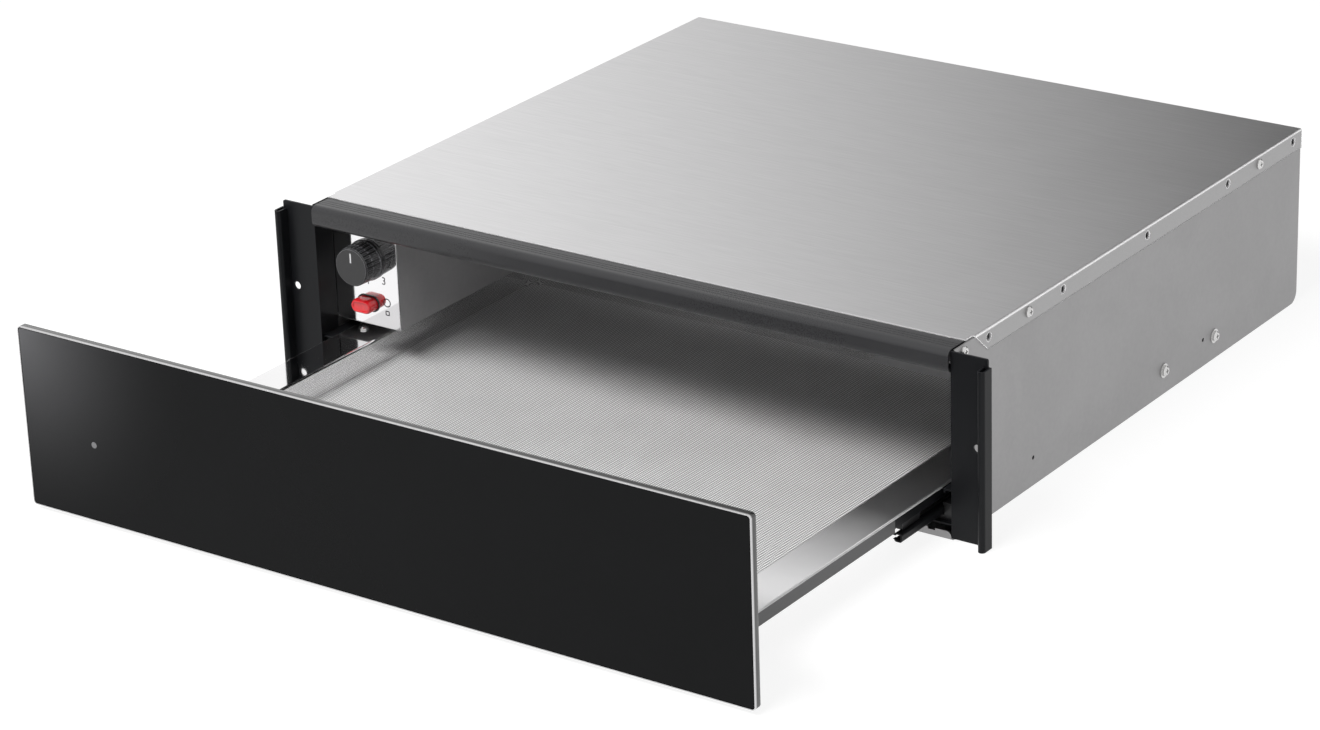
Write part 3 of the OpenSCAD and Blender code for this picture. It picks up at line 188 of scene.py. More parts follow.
class DrawerShades(bpy.types.PropertyGroup):
    """How the finishes change over a piece, with the painted shade, highlights and reflection that some of
    them carry.
    """

    fade: length("Fade", "Width over which a line on a piece fades out", 0.0004)
    # flange, fold and foot are painted shade on the cover's flanges, a painted highlight on its fold and a
    # painted shadow line along the flanges' foot
    flange: share("Flange", "Brightness of the cover's flanges against its top", 0.48)
    flange_turn: share("Flange's turn", "How far the cover has turned where it begins to darken", 0.2)
    fold: plain("Fold", "Brightness added on the cover's fold", 2.6, min=0)
    fold_turn: share("Fold's turn", "How far the cover has turned in the middle of its fold", 0.6)
    fold_reach: share("Fold's reach", "How far the bright line reaches to either side", 0.36)
    foot: share("Foot", "Brightness of the line along the flanges' foot", 0.25)
    foot_line: length("Foot line", "Height of the line along the flanges' foot", 0.0005)
    blur: share("Tray blur", "Roughness added on the tray's right half", 0.27)
    blur_from: plain("Blur's start", "Where the tray begins to get rougher", -0.10, unit="LENGTH")
    blur_to: plain("Blur's end", "Where the tray is roughest", 0.15, unit="LENGTH")
    matt: plain("Tray matt", "How fast the rougher half turns matt towards the front", 3.5, min=0)
    matt_from: plain("Matt's start", "Where the rougher half begins to turn matt", -0.05, unit="LENGTH")
    matt_to: plain("Matt's end", "Where the rougher half is most matt", -0.20, unit="LENGTH")
    # the width of the painted highlight along the skirts' top edge
    bead: length("Bead", "Width of the bare bead along the skirts", 0.0010)
    rim_bright: share("Bright part", "Share of the rim's depth that is bright", 0.12)
    rim_dark: share("Dark part", "Share of the rim's depth at which it is dark", 0.36)
    # the glass gets a painted reflection at its upper left corner
    sheen_out: length("Sheen's middle", "Distance from the glass to the middle of its sheen", 0.01)
    sheen_reach: length("Sheen's reach", "Distance over which the glass gets dark", 0.17)
    sheen_fall: plain("Sheen's fall", "How fast the sheen gives way", 2.6, min=0)
    worn_metal: share("Worn metal", "Metallic look that is left on worn edges", 0.45)


class DrawerStudio(bpy.types.PropertyGroup):
    """Floor, room, lamps, board and camera."""

    floor_size: length("Floor", "Radius of the pale floor", 9.0)
    near: length("Shadow radius", "Distance within which the floor keeps its shadow", 0.70)
    far: length("White radius", "Distance from which the floor is plain white", 1.5)
    pale: share("Paleness", "How much of the floor near the drawer is plain white paper", 0.72)
    paper: share("Paper", "Lightness of the floor where it takes the shadow", 0.93)
    glow: plain("Glow", "Brightness of the plain white paper", 1.2, min=0)
    sky: plain("Sky", "Strength of the room's light", 0.25, min=0)
    lamp: plain("Lamp", "Power of the soft lamp overhead", 72, min=0, unit="POWER")
    lamp_at: lengths("Lamp's place", "Middle of the lamp overhead", (-0.5, -1.5, 2.2))
    lamp_aim: lengths("Lamp's aim", "Point that the lamp overhead faces", (0, -0.1, 0))
    lamp_size: lengths("Lamp's size", "Sides of the lamp overhead", (2.2, 0.9))
    fill: plain("Fill lamp", "Power of the soft lamp at the right front", 3, min=0, unit="POWER")
    fill_at: lengths("Fill lamp's place", "Middle of the fill lamp", (1.8, -1.3, 0.30))
    fill_aim: lengths("Fill lamp's aim", "Point that the fill lamp faces", (-0.15, 0.1, 0.04))
    fill_size: lengths("Fill lamp's size", "Sides of the fill lamp", (0.9, 0.7))
    board_axis: length("Board's axis", "Point on the drawer's middle line that the board faces", 0.25)
    board_back: length("Board's distance", "How far behind that point the board stands", 1.3)
    board_size: lengths("Board's size", "Width and height of the board", (3.5, 2.35))
    board_shift: lengths("Board's place", "Middle of the board, to the right and up", (0.45, 1.225))
    board_from: plain("Board's light side", "Where the board begins to darken", -0.42, unit="LENGTH")
    board_to: plain("Board's dark side", "Where the board is darkest", 0.66, unit="LENGTH")
    board_light: plain("Board's light", "Brightness of the board's light side", 1.10, min=0)
    camera_at: lengths("Camera", "Place of the camera", (1.60155, -2.18814, 1.20159))
    azimuth: plain("Azimuth", "Camera's direction round the drawer", math.radians(35.61), unit="ROTATION")
    elevation: plain("Elevation", "Camera's height above the horizon", math.radians(22.69), unit="ROTATION")
    roll: plain("Roll", "Camera's turn about its own axis", math.radians(-1.97), unit="ROTATION")
    lens: plain("Lens", "Focal length in millimetres", 115.69, min=10)
    sensor: plain("Sensor", "Width of the camera's sensor in millimetres", 36, min=1)
    clip_start: length("Nearest", "Nearest distance that the camera sees", 0.05)
    clip_end: length("Farthest", "Farthest distance that the camera sees", 60)


def add(tree, kind, values=None, **settings):
    """Adds a shader node. A value that is an output is linked, and any other is set on the socket."""
    made = tree.nodes.new("ShaderNode" + kind)
    for key, setting in settings.items():
        setattr(made, key, setting)
    for key, given in (values or {}).items():
        if isinstance(given, bpy.types.NodeSocket):
            tree.links.new(given, made.inputs[key])
        else:
            made.inputs[key].default_value = given
    return made


def maths(tree, operation, *values):
    """Works with up to three numbers."""
    return add(tree, "Math", dict(enumerate(values)), operation=operation).outputs[0]


def vectors(tree, operation, *values, scale=None):
    """Works with vectors. Some operations give a number."""
    sockets = dict(enumerate(values))
    if scale is not None:
        sockets["Scale"] = scale
    made = add(tree, "VectorMath", sockets, operation=operation)
    return made.outputs["Value" if operation in ("DOT_PRODUCT", "DISTANCE", "LENGTH") else "Vector"]


def ramp(tree, given, start, end, low=0.0, high=1.0, **settings):
    """Maps a number from one range to another and holds it at both ends."""
    made = add(tree, "MapRange", {"Value": given, "From Min": start, "From Max": end, "To Min": low,
                                  "To Max": high}, **settings)
    return made.outputs["Result"]


def blend(tree, factor, first, second, kind="RGBA"):
    """Mixes two colours or two numbers."""
    return add(tree, "Mix", {"Factor": factor, "A": first, "B": second}, data_type=kind).outputs["Result"]


def along(tree, spot, axis):
    """One coordinate of a place."""
    return add(tree, "SeparateXYZ", {0: spot}).outputs[axis]


def blank(kind, name):
    """Starts a material or a world with an empty node tree."""
    made = kind.new(name)
    made.use_nodes = True
    made.node_tree.nodes.clear()
    return made


# noise keeps near its middle, so these parts of its range are stretched over 0 to 1
LINE_RANGE, GRAIN_RANGE, PATCH_RANGE = (0.62, 1.38), (0.28, 0.72), (0.34, 0.68)
# distance from a dot's middle where it begins and where it is full, in pitches
DOT_RANGE = (0.50, 0.28)
# cosine between the rounded and the flat normal where an edge begins and where it is full
EDGE_RANGE = (0.985, 0.86)
# the bold lines' frequency against that of the fine ones
BOLD = 0.66


def new_group(name, inputs, outputs):
    """Starts a shader node group. Returns its tree, what comes in and what goes out."""
    tree = bpy.data.node_groups.new(name, "ShaderNodeTree")
    for label, kind, default in inputs:
        socket = tree.interface.new_socket(label, in_out="INPUT", socket_type="NodeSocket" + kind)
        if default is not None:
            socket.default_value = default
    for label, kind in outputs:
        tree.interface.new_socket(label, in_out="OUTPUT", socket_type="NodeSocket" + kind)
    return tree, tree.nodes.new("NodeGroupInput").outputs, tree.nodes.new("NodeGroupOutput").inputs


def soft_edges():
    """Normals that are round at the edges, and a mask that is 1 on the edges."""
    tree, come, go = new_group("Soft edges", [("Radius", "Float", 0.0003)],
                               [("Normal", "Vector"), ("Edge", "Float")])
    rounded = add(tree, "Bevel", {"Radius": come["Radius"]}, samples=4).outputs["Normal"]
    agree = vectors(tree, "DOT_PRODUCT", rounded, add(tree, "NewGeometry").outputs["Normal"])
    tree.links.new(rounded, go["Normal"])
    tree.links.new(ramp(tree, agree, *EDGE_RANGE), go["Edge"])
    return tree


def brushed():
    """Fine lines along X, from 0 to 1, with some longer and bolder ones."""
    tree, come, go = new_group("Brushed lines", [("Vector", "Vector", None), ("Along", "Float", 42.0),
                                                 ("Across", "Float", 1500.0)], [("Lines", "Float")])
    stretch = add(tree, "CombineXYZ", {"X": come["Along"], "Y": come["Across"], "Z": come["Across"]})
    thin = vectors(tree, "MULTIPLY", come["Vector"], stretch.outputs[0])
    bold = vectors(tree, "SCALE", thin, scale=BOLD)
    first = add(tree, "TexNoise", {"Vector": thin, "Scale": 1.0, "Detail": 2.0, "Roughness": 0.6})
    second = add(tree, "TexNoise", {"Vector": bold, "Scale": 1.0, "Detail": 1.0})
    both = maths(tree, "ADD", first.outputs["Fac"], second.outputs["Fac"])
    tree.links.new(ramp(tree, both, *LINE_RANGE), go["Lines"])
    return tree


def grained():
    """Fine even grain of paint, moulded plastic or zinc, from 0 to 1."""
    tree, come, go = new_group("Fine grain", [("Vector", "Vector", None), ("Scale", "Float", 900.0)],
                               [("Grain", "Float")])
    noise = add(tree, "TexNoise", {"Vector": come["Vector"], "Scale": come["Scale"], "Detail": 3.0,
                                   "Roughness": 0.62})
    tree.links.new(ramp(tree, noise.outputs["Fac"], *GRAIN_RANGE), go["Grain"])
    return tree


def clouded():
    """Large soft patches, as handling and uneven coating leave them, from 0 to 1."""
    tree, come, go = new_group("Soft patches", [("Vector", "Vector", None), ("Scale", "Float", 14.0)],
                               [("Patches", "Float")])
    noise = add(tree, "TexNoise", {"Vector": come["Vector"], "Scale": come["Scale"], "Detail": 4.0,
                                   "Roughness": 0.55, "Distortion": 0.6})
    soft = ramp(tree, noise.outputs["Fac"], *PATCH_RANGE, interpolation_type="SMOOTHSTEP")
    tree.links.new(soft, go["Patches"])
    return tree


def dotted():
    """A square grid of round dots in plan view, 1 on a dot and 0 between them."""
    tree, come, go = new_group("Dot grid", [("Vector", "Vector", None), ("Pitch", "Float", 0.002)],
                               [("Dots", "Float")])
    cell = vectors(tree, "SCALE", come["Vector"], scale=maths(tree, "DIVIDE", 1.0, come["Pitch"]))
    middle = vectors(tree, "SUBTRACT", vectors(tree, "FRACTION", cell), (0.5, 0.5, 0.5))
    away = vectors(tree, "LENGTH", vectors(tree, "MULTIPLY", middle, (1.0, 1.0, 0.0)))
    tree.links.new(ramp(tree, away, *DOT_RANGE, interpolation_type="SMOOTHSTEP"), go["Dots"])
    return tree


# each pattern's input for its size and its output
PATTERNS = {"lines": ("Across", "Lines"), "grain": ("Scale", "Grain"), "dots": ("Pitch", "Dots")}
GROUPS = {}
FINISHES = {}


def place(tree, name, values):
    """Places one of the shared groups in a material and gives its outputs."""
    return add(tree, "Group", values, node_tree=GROUPS[name]).outputs


def hue(name, factor=1.0):
    """One of the named colours, made darker or brighter."""
    return (*[min(1.0, part * factor) for part in getattr(bpy.context.scene.drawer_colours, name)], 1.0)


def tint(tree, looks, mask, name):
    """Gives a finish another colour where the mask is 1."""
    looks["Base Color"] = blend(tree, mask, looks["Base Color"], hue(name))


def finish(name, base, metallic=0.0, roughness=0.5, pattern="grain", scale=900.0, contrast=0.06, spread=0.05,
           bump=0.01, patches=0.05, painted_edge_light=0.0, edge=None, extra=None, shader=None):
    """One material: a patterned colour and roughness with a fine bump, over softened edges.

    Contrast, spread and patches say how far the colour, the roughness and the large patches swing. Bump is
    in millimetres. The edge light is a painted highlight on the edges, and painted shade where it is below 0.
    An extra changes what goes into the shader.
    """
    material = blank(bpy.data.materials, name)
    tree = material.node_tree
    spot = add(tree, "TexCoord").outputs["Object"]
    edges = place(tree, "edges", {"Radius": edge or bpy.context.scene.drawer_sizes.edge})
    size, output = PATTERNS[pattern]
    mask = place(tree, pattern, {"Vector": spot, size: scale})[output]
    patch = place(tree, "patches", {"Vector": spot})["Patches"]
    varied = blend(tree, mask, hue(base, 1 - contrast), hue(base, 1 + contrast))
    toned = vectors(tree, "SCALE", varied, scale=ramp(tree, patch, 0.0, 1.0, 1 - patches, 1 + patches))
    wander = blend(tree, 0.5, mask, patch, "FLOAT")
    relief = add(tree, "Bump", {"Strength": 1.0, "Distance": bump * MILLIMETRE, "Height": mask,
                                "Normal": edges["Normal"]})
    # the edges' colour is lifted by the edge light: a painted highlight, or painted shade where it is below 0
    looks = {"Base Color": blend(tree, edges["Edge"], toned, hue(base, 1 + painted_edge_light)),
             "Roughness": ramp(tree, wander, 0.0, 1.0, roughness - spread, roughness + spread),
             "Metallic": metallic, "Normal": relief.outputs["Normal"], **(shader or {})}
    if metallic:
        worn = metallic * bpy.context.scene.drawer_shades.worn_metal
        looks["Metallic"] = ramp(tree, edges["Edge"], 0.0, 1.0, metallic, worn)
    if extra:
        extra(tree, spot, looks)
    body = add(tree, "BsdfPrincipled", looks)
    tree.links.new(body.outputs["BSDF"], add(tree, "OutputMaterial").inputs["Surface"])
    return material


def dark_sides(tree, spot, looks):
    """Painted shade on the cover's flanges, darker than its top, with a painted highlight on the fold and a
    painted shadow line at their foot.
    """
    shades = bpy.context.scene.drawer_shades
    turned = maths(tree, "ABSOLUTE", vectors(tree, "DOT_PRODUCT", looks["Normal"], (1, 0, 0)))
    side = ramp(tree, turned, shades.flange_turn, 1.0, 1.0, shades.flange)
    fold = maths(tree, "COMPARE", turned, shades.fold_turn, shades.fold_reach)
    shade = maths(tree, "MULTIPLY_ADD", fold, shades.fold, side)
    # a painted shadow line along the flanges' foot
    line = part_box("top_cover")[0].z + shades.foot_line
    foot = ramp(tree, along(tree, spot, "Z"), line, line + shades.fade, shades.foot, 1.0)
    both = maths(tree, "MULTIPLY", shade, foot)
    looks["Base Color"] = vectors(tree, "SCALE", looks["Base Color"], scale=both)


def soft_right(tree, spot, looks):
    """The tray's right half is less polished than its left, and matt towards the front."""
    shades = bpy.context.scene.drawer_shades
    right = ramp(tree, along(tree, spot, "X"), shades.blur_from, shades.blur_to, 0.0, shades.blur,
                 interpolation_type="SMOOTHSTEP")
    ahead = ramp(tree, along(tree, spot, "Y"), shades.matt_from, shades.matt_to, 0.0, shades.matt)
    looks["Roughness"] = maths(tree, "ADD", looks["Roughness"], right)
    matt = maths(tree, "MULTIPLY", ahead, right)
    looks["Metallic"] = maths(tree, "SUBTRACT", looks["Metallic"], matt)


def bright_bead(tree, spot, looks):
    """Paints a highlight along the skirt's top edge, over its grey lacquer."""
    shades = bpy.context.scene.drawer_shades
    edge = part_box("skirt_right")[1].x - shades.bead
    out = maths(tree, "ABSOLUTE", along(tree, spot, "X"))
    tint(tree, looks, ramp(tree, out, edge - shades.fade / 2, edge), "bead")


def dark_back(tree, spot, looks):
    """The rim's rear half is dark, and only the part round the glass is bright."""
    shades = bpy.context.scene.drawer_shades
    low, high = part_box("front_frame")
    start, end = (low.y + part * (high.y - low.y) for part in (shades.rim_bright, shades.rim_dark))
    tint(tree, looks, ramp(tree, along(tree, spot, "Y"), start, end), "rim_back")


def corner_sheen(tree, spot, looks):
    """Paints a reflection on the glass, paler towards its upper left corner."""
    shades = bpy.context.scene.drawer_shades
    low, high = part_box("glass_front")
    away = vectors(tree, "DISTANCE", spot, (low.x - shades.sheen_out, low.y, high.z))
    near = ramp(tree, away, 0.0, shades.sheen_reach, 1.0, 0.0)
    tint(tree, looks, maths(tree, "POWER", near, shades.sheen_fall), "sheen")


def make_finishes():
    """Builds the shared groups, a material for each slot of the record, and those of single pieces."""
    sizes = bpy.context.scene.drawer_sizes
    GROUPS.update(edges=soft_edges(), lines=brushed(), grain=grained(), dots=dotted(), patches=clouded())
    # each finish's edge light is a painted highlight on its edges, and painted shade where it is below 0
    FINISHES.update(
        cover_steel=finish("Brushed stainless", "cover", metallic=1.0, roughness=0.38, pattern="lines",
                           scale=2100, contrast=0.065, spread=0.02, bump=0.005, patches=0.0, painted_edge_light=0.2,
                           edge=sizes.fold_edge, extra=dark_sides),
        sheet_steel=finish("Galvanised sheet", "sheet", metallic=1.0, roughness=0.46, scale=260,
                           contrast=0.05, spread=0.06, bump=0.006, painted_edge_light=0.5),
        polished_steel=finish("Polished stainless", "mirror", metallic=1.0, roughness=0.07, scale=1200,
                              contrast=0.01, spread=0.02, bump=0.0003, patches=0.02, painted_edge_light=0.15,
                              edge=sizes.panel_edge),
        tray_steel=finish("Polished tray", "mirror", metallic=1.0, roughness=0.06, scale=1200, contrast=0.01,
                          spread=0.02, bump=0.0003, patches=0.02, extra=soft_right),
        rim_steel=finish("Satin rim", "rim", metallic=1.0, roughness=0.24, scale=1200, contrast=0.03,
                         spread=0.03, bump=0.0006, patches=0.02, extra=dark_back),
        # a lighter, less metallic copy of the galvanised sheet: painted light on the control box inside the
        # shaded housing
        box_steel=finish("Control box sheet", "box", metallic=0.25, roughness=0.42, scale=260, contrast=0.04,
                         bump=0.004, patches=0.04, painted_edge_light=0.6),
        skirt_paint=finish("Grey lacquer", "skirt", roughness=0.42, scale=1400, contrast=0.05, patches=0.03,
                           extra=bright_bead),
        black_paint=finish("Black lacquer", "enamel", roughness=0.36, scale=1300, contrast=0.08, spread=0.06,
                           patches=0.06, painted_edge_light=3.0, shader={"Specular IOR Level": 0.14}),
        rail_paint=finish("Dark lacquer", "rail", roughness=0.30, scale=1500, contrast=0.08, patches=0.04,
                          painted_edge_light=0.3, shader={"Specular IOR Level": 0.36}),
        black_plastic=finish("Black moulding", "moulding", roughness=0.36, scale=1700, contrast=0.08,
                             spread=0.07, painted_edge_light=7.0, edge=sizes.moulding_edge),
        # the knob's strong edge light paints highlights on its flutes
        knob_plastic=finish("Glossy black knob", "moulding", roughness=0.2, scale=1700, bump=0.006,
                            painted_edge_light=26.0, edge=sizes.knob_edge),
        nylon=finish("Nylon", "nylon", roughness=0.5, scale=700, contrast=0.04, bump=0.008, patches=0.04,
                     painted_edge_light=0.1, shader={"Subsurface Weight": 0.15, "Subsurface Scale": 0.002}),
        red_plastic=finish("Red cap", "cap", roughness=0.16, scale=500, spread=0.04, bump=0.004, patches=0.08,
                           painted_edge_light=0.5, shader={"Subsurface Weight": 0.25, "Subsurface Scale": 0.003,
                                                   "Coat Weight": 0.5, "Coat Roughness": 0.06}),
        white_inlay=finish("White inlay", "inlay", roughness=0.4, contrast=0.03, spread=0.04, bump=0.004,
                           patches=0.03),
        black_glass=finish("Black glass", "glass", roughness=0.06, scale=60, contrast=0.03, spread=0.025,
                           bump=0.0002, painted_edge_light=1.5, extra=corner_sheen,
                           shader={"Specular IOR Level": 0.09}),
        lens_plastic=finish("Smoked window", "window", roughness=0.24, scale=600, contrast=0.05, spread=0.04,
                            bump=0.003, patches=0.04, painted_edge_light=0.4),
        mat_rubber=finish("Dotted mat", "mat", roughness=0.62, pattern="dots", scale=sizes.dot_pitch,
                          contrast=0.74, bump=0.10, patches=0.03),
        buffer_rubber=finish("Buffer rubber", "buffer", roughness=0.7, scale=800, contrast=0.1, spread=0.06,
                             bump=0.012, patches=0.06),
        # the screws' edge light below 0 paints shade round their heads
        screw_steel=finish("Zinc", "zinc", metallic=1.0, roughness=0.22, scale=1500, contrast=0.08,
                           bump=0.006, patches=0.06, painted_edge_light=-0.75),
        fan_aluminium=finish("Aluminium", "wheel", metallic=1.0, roughness=0.38, contrast=0.05, spread=0.06,
                             bump=0.006),
        heater_steel=finish("Heater tube", "heater", metallic=1.0, roughness=0.5, scale=500, contrast=0.12,
                            spread=0.08, patches=0.2),
        copper=finish("Copper", "copper", metallic=1.0, roughness=0.32, scale=700, spread=0.07, bump=0.006,
                      patches=0.12),
        ink=finish("Print ink", "ink", roughness=0.5, scale=1500, bump=0.004, patches=0.03),
    )


def new_object(name, data):
    """Puts new data in the scene as an object."""
    made = bpy.data.objects.new(name, data)
    bpy.context.scene.collection.objects.link(made)
    return made


def mesh_object(name, bm, material):
    """Turns a bmesh into an object with one material."""
    mesh = bpy.data.meshes.new(name)
    bm.to_mesh(mesh)
    bm.free()
    mesh.materials.append(material)
    return new_object(name, mesh)


def new_piece(name, bm, slot, body, *nodes, sheet=0.0, smooth=None, looks=None):
    """Turns a bmesh into a finished piece that rides on a body and may stand for CAD nodes.

    Sheet gives an open surface its thickness. Smooth is the angle in degrees above which an edge stays sharp,
    as open edges always do.
    """
    bmesh.ops.remove_doubles(bm, verts=bm.verts, dist=1e-6)
    bmesh.ops.recalc_face_normals(bm, faces=bm.faces)
    bm.edges.index_update()
    rims = [edge.index for edge in bm.edges if edge.is_boundary]
    piece = mesh_object(name, bm, FINISHES[looks or slot])
    if smooth is not None:
        piece.data.shade_smooth()
        piece.data.set_sharp_from_angle(angle=math.radians(smooth))
        for index in rims:
            piece.data.edges[index].use_edge_sharp = True
    if sheet:
        wall = piece.modifiers.new("Sheet", "SOLIDIFY")
        wall.thickness, wall.offset, wall.use_even_offset = sheet, -1.0, True
        flat = piece.modifiers.new("Flat faces", "WEIGHTED_NORMAL")
        flat.weight, flat.keep_sharp = 100, True
    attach(piece, body)
    if nodes:
        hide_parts(*nodes)
    return piece


def edges_of(verts):
    """The edges at some vertices, in a fixed order."""
    return list(dict.fromkeys(edge for vert in verts for edge in vert.link_edges))


def ring(bm, low, high, radius, level, steps=8):
    """A closed loop of edges round a rectangle with round corners, flat at one height."""
    made = bmesh.ops.create_circle(bm, segments=4 * steps, radius=radius)["verts"]
    half = (high - low) / 2 - Vector((radius, radius))
    middle = (high + low) / 2
    bmesh.ops.rotate(bm, verts=made, matrix=Matrix.Rotation(math.pi / (4 * steps), 3, "Z"))
    for vert in made:
        corner = Vector((math.copysign(half.x, vert.co.x), math.copysign(half.y, vert.co.y)))
        vert.co += Vector((*(middle + corner), level))
    return edges_of(made)


def section_rings(bm, low, high, section, corner, least=0.0, steps=8):
    """A ring for each point of a section, which says how far in from the outline and how high it lies."""
    rings = []
    for inset, level in section:
        away = Vector((inset, inset))
        rings.append(ring(bm, low + away, high - away, max(corner - inset, least), level, steps))
    return rings


def bands(bm, rings, closed=False):
    """Joins each ring to the next with a band of faces."""
    for outer, inner in zip(rings, rings[1:] + (rings[:1] if closed else [])):
        bmesh.ops.bridge_loops(bm, edges=outer + inner)


def upright(bm, verts=None):
    """Turns what was drawn in plan so that its Y runs up and its X to the right, seen from the front."""
    bmesh.ops.rotate(bm, verts=verts or bm.verts, matrix=Matrix.Rotation(math.pi / 2, 3, "X"))


def bevel_sharp(bm, width, segments, angle):
    """Rounds the edges whose faces meet at more than an angle in radians."""
    edges = [edge for edge in bm.edges if edge.is_manifold and edge.calc_face_angle(0) > angle]
    bmesh.ops.bevel(bm, geom=edges, offset=width, offset_type="OFFSET", affect="EDGES", segments=segments,
                    profile=0.5, material=-1, clamp_overlap=True)


class DRAWER_OT_finishes(bpy.types.Operator):
    """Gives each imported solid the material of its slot"""

    bl_idname = "drawer.finishes"
    bl_label = "Finishes"

    # nodes that look different from the rest of their slot: the control box gets a lighter copy of the sheet,
    # which paints light into the shaded housing, and the knob a glossy finish with painted highlights on its
    # flutes
    own_looks = {"control_box": "box_steel", "knob": "knob_plastic"}

    def execute(self, context):
        make_finishes()
        for part in frame["record"]["subparts"]:
            materials = frame["nodes"][part["node"]].data.materials
            materials.clear()
            materials.append(FINISHES[self.own_looks.get(part["node"], part["material_slot"])])
        return {"FINISHED"}


class DRAWER_OT_tray(bpy.types.Operator):
    """Presses the polished tray with its round bends"""

    bl_idname = "drawer.tray"
    bl_label = "Pressed tray"

    def execute(self, context):
        sizes = context.scene.drawer_sizes
        low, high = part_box("tray")
        mat_low, mat_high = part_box("mat")
        play = Vector((sizes.tray_play, sizes.tray_play))
        well_low, well_high = mat_low.xy - play, mat_high.xy + play
        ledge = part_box("ledge_screws")[1].z - sizes.screw_head
        bm = bmesh.new()
        rings = [ring(bm, low.xy, high.xy, sizes.ledge_corner, ledge),
                 ring(bm, well_low, well_high, sizes.tray_corner, ledge),
                 ring(bm, well_low, well_high, sizes.tray_corner, mat_low.z)]
        bands(bm, rings)
        bmesh.ops.contextual_create(bm, geom=rings[-1])
        bevel_sharp(bm, sizes.tray_bend, segments=5, angle=1.2)
        # the upstand that is screwed to the front
        upstand = bmesh.ops.create_grid(bm, x_segments=24, y_segments=1, size=0.5)["verts"]
        wide, tall = well_high.x - well_low.x, high.z - ledge
        bmesh.ops.scale(bm, verts=upstand, vec=(wide, tall, 1))
        upright(bm, upstand)
        bmesh.ops.translate(bm, verts=upstand, vec=(0, low.y + sizes.upstand_back, ledge + tall / 2))
        new_piece("pressed_tray", bm, "polished_steel", "drawer", "tray", sheet=sizes.tray_sheet, smooth=30,
                  looks="tray_steel")
        return {"FINISHED"}


class DRAWER_OT_rim(bpy.types.Operator):
    """Makes the bright rim round the glass, with its flange behind it"""

    bl_idname = "drawer.rim"
    bl_label = "Bright rim"

    def execute(self, context):
        sizes = context.scene.drawer_sizes
        low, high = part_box("front_frame")
        deep, thin = high.y - low.y, sizes.rim_sheet
        inner = sizes.rim + sizes.rim_hold
        section = ((0, 0), (0, deep), (sizes.rim, deep), (sizes.rim, thin), (inner, thin), (inner, 0))
        bm = bmesh.new()
        rings = section_rings(bm, low.xz, high.xz, section, sizes.rim_corner, sizes.rim_corner_least, steps=6)
        bands(bm, rings, closed=True)
        bevel_sharp(bm, sizes.rim_bevel, segments=2, angle=1.2)
        upright(bm)
        bmesh.ops.translate(bm, verts=bm.verts, vec=(0, high.y, 0))
        new_piece("bright_rim", bm, "polished_steel", "drawer", "front_frame", smooth=40, looks="rim_steel")
        return {"FINISHED"}


class DRAWER_OT_button(bpy.types.Operator):
    """Makes the red button cap with its dished face and round edge"""

    bl_idname = "drawer.button"
    bl_label = "Button cap"

    straight = 1e-5  # what is left of the straight side between the round ends

    def execute(self, context):
        sizes = context.scene.drawer_sizes
        low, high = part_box("switch_button")
        # how far in from the side, and how far behind the face
        section = ((0, high.y - low.y), (0, sizes.cap_step_back), (sizes.cap_step, sizes.cap_step_front),
                   (sizes.cap_step, sizes.cap_bevel), (sizes.cap_bevel, 0), (sizes.cap_lip, 0),
                   (sizes.cap_slope, sizes.cap_dish))
        section = [(inset, -low.y - depth) for inset, depth in section]
        bm = bmesh.new()
        rings = section_rings(bm, low.xz, high.xz, section, (high.z - low.z) / 2 - self.straight)
        bands(bm, rings)
        for cap in (rings[0], rings[-1]):
            bmesh.ops.contextual_create(bm, geom=cap)
        bevel_sharp(bm, sizes.cap_round, segments=2, angle=0.6)
        upright(bm)
        new_piece("button_cap", bm, "red_plastic", "button", "switch_button", smooth=50)
        return {"FINISHED"}


def number(bm, text, at, sizes):
    """Adds one number, drawn flat and facing +Z."""
    curve = bpy.data.curves.new("number", "FONT")
    curve.body, curve.size, curve.extrude = text, sizes.print_height, sizes.print_lift
    curve.align_x = curve.align_y = "CENTER"
    holder = new_object("number", curve)
    mesh = bpy.data.meshes.new_from_object(holder.evaluated_get(bpy.context.evaluated_depsgraph_get()))
    mesh.transform(Matrix.Translation((*at, 0)))
    bm.from_mesh(mesh)
    bpy.data.objects.remove(holder)
    bpy.data.curves.remove(curve)
    bpy.data.meshes.remove(mesh)


def flat_ring(bm, at, sizes):
    """Adds the thin printed ring."""
    both = []
    for radius in (sizes.ring_radius, sizes.ring_radius - sizes.print_line):
        both += bmesh.ops.create_circle(bm, segments=32, radius=radius)["verts"]
    faces = bmesh.ops.bridge_loops(bm, edges=edges_of(both))["faces"]
    raised = bmesh.ops.extrude_face_region(bm, geom=faces)["geom"]
    top = [made for made in raised if isinstance(made, bmesh.types.BMVert)]
    bmesh.ops.translate(bm, verts=top, vec=(0, 0, sizes.print_lift))
    bmesh.ops.translate(bm, verts=both + top, vec=(*at, 0))


def stroke(bm, start, end, sizes):
    """Adds a thin printed line between two points."""
    span = end - start
    made = bmesh.ops.create_cube(bm, size=1.0)["verts"]
    bmesh.ops.scale(bm, verts=made, vec=(span.length, sizes.print_line, 2 * sizes.print_lift))
    bmesh.ops.rotate(bm, verts=made, matrix=Matrix.Rotation(math.atan2(span.y, span.x), 3, "Z"))
    bmesh.ops.translate(bm, verts=made, vec=(*((start + end) / 2), 0))


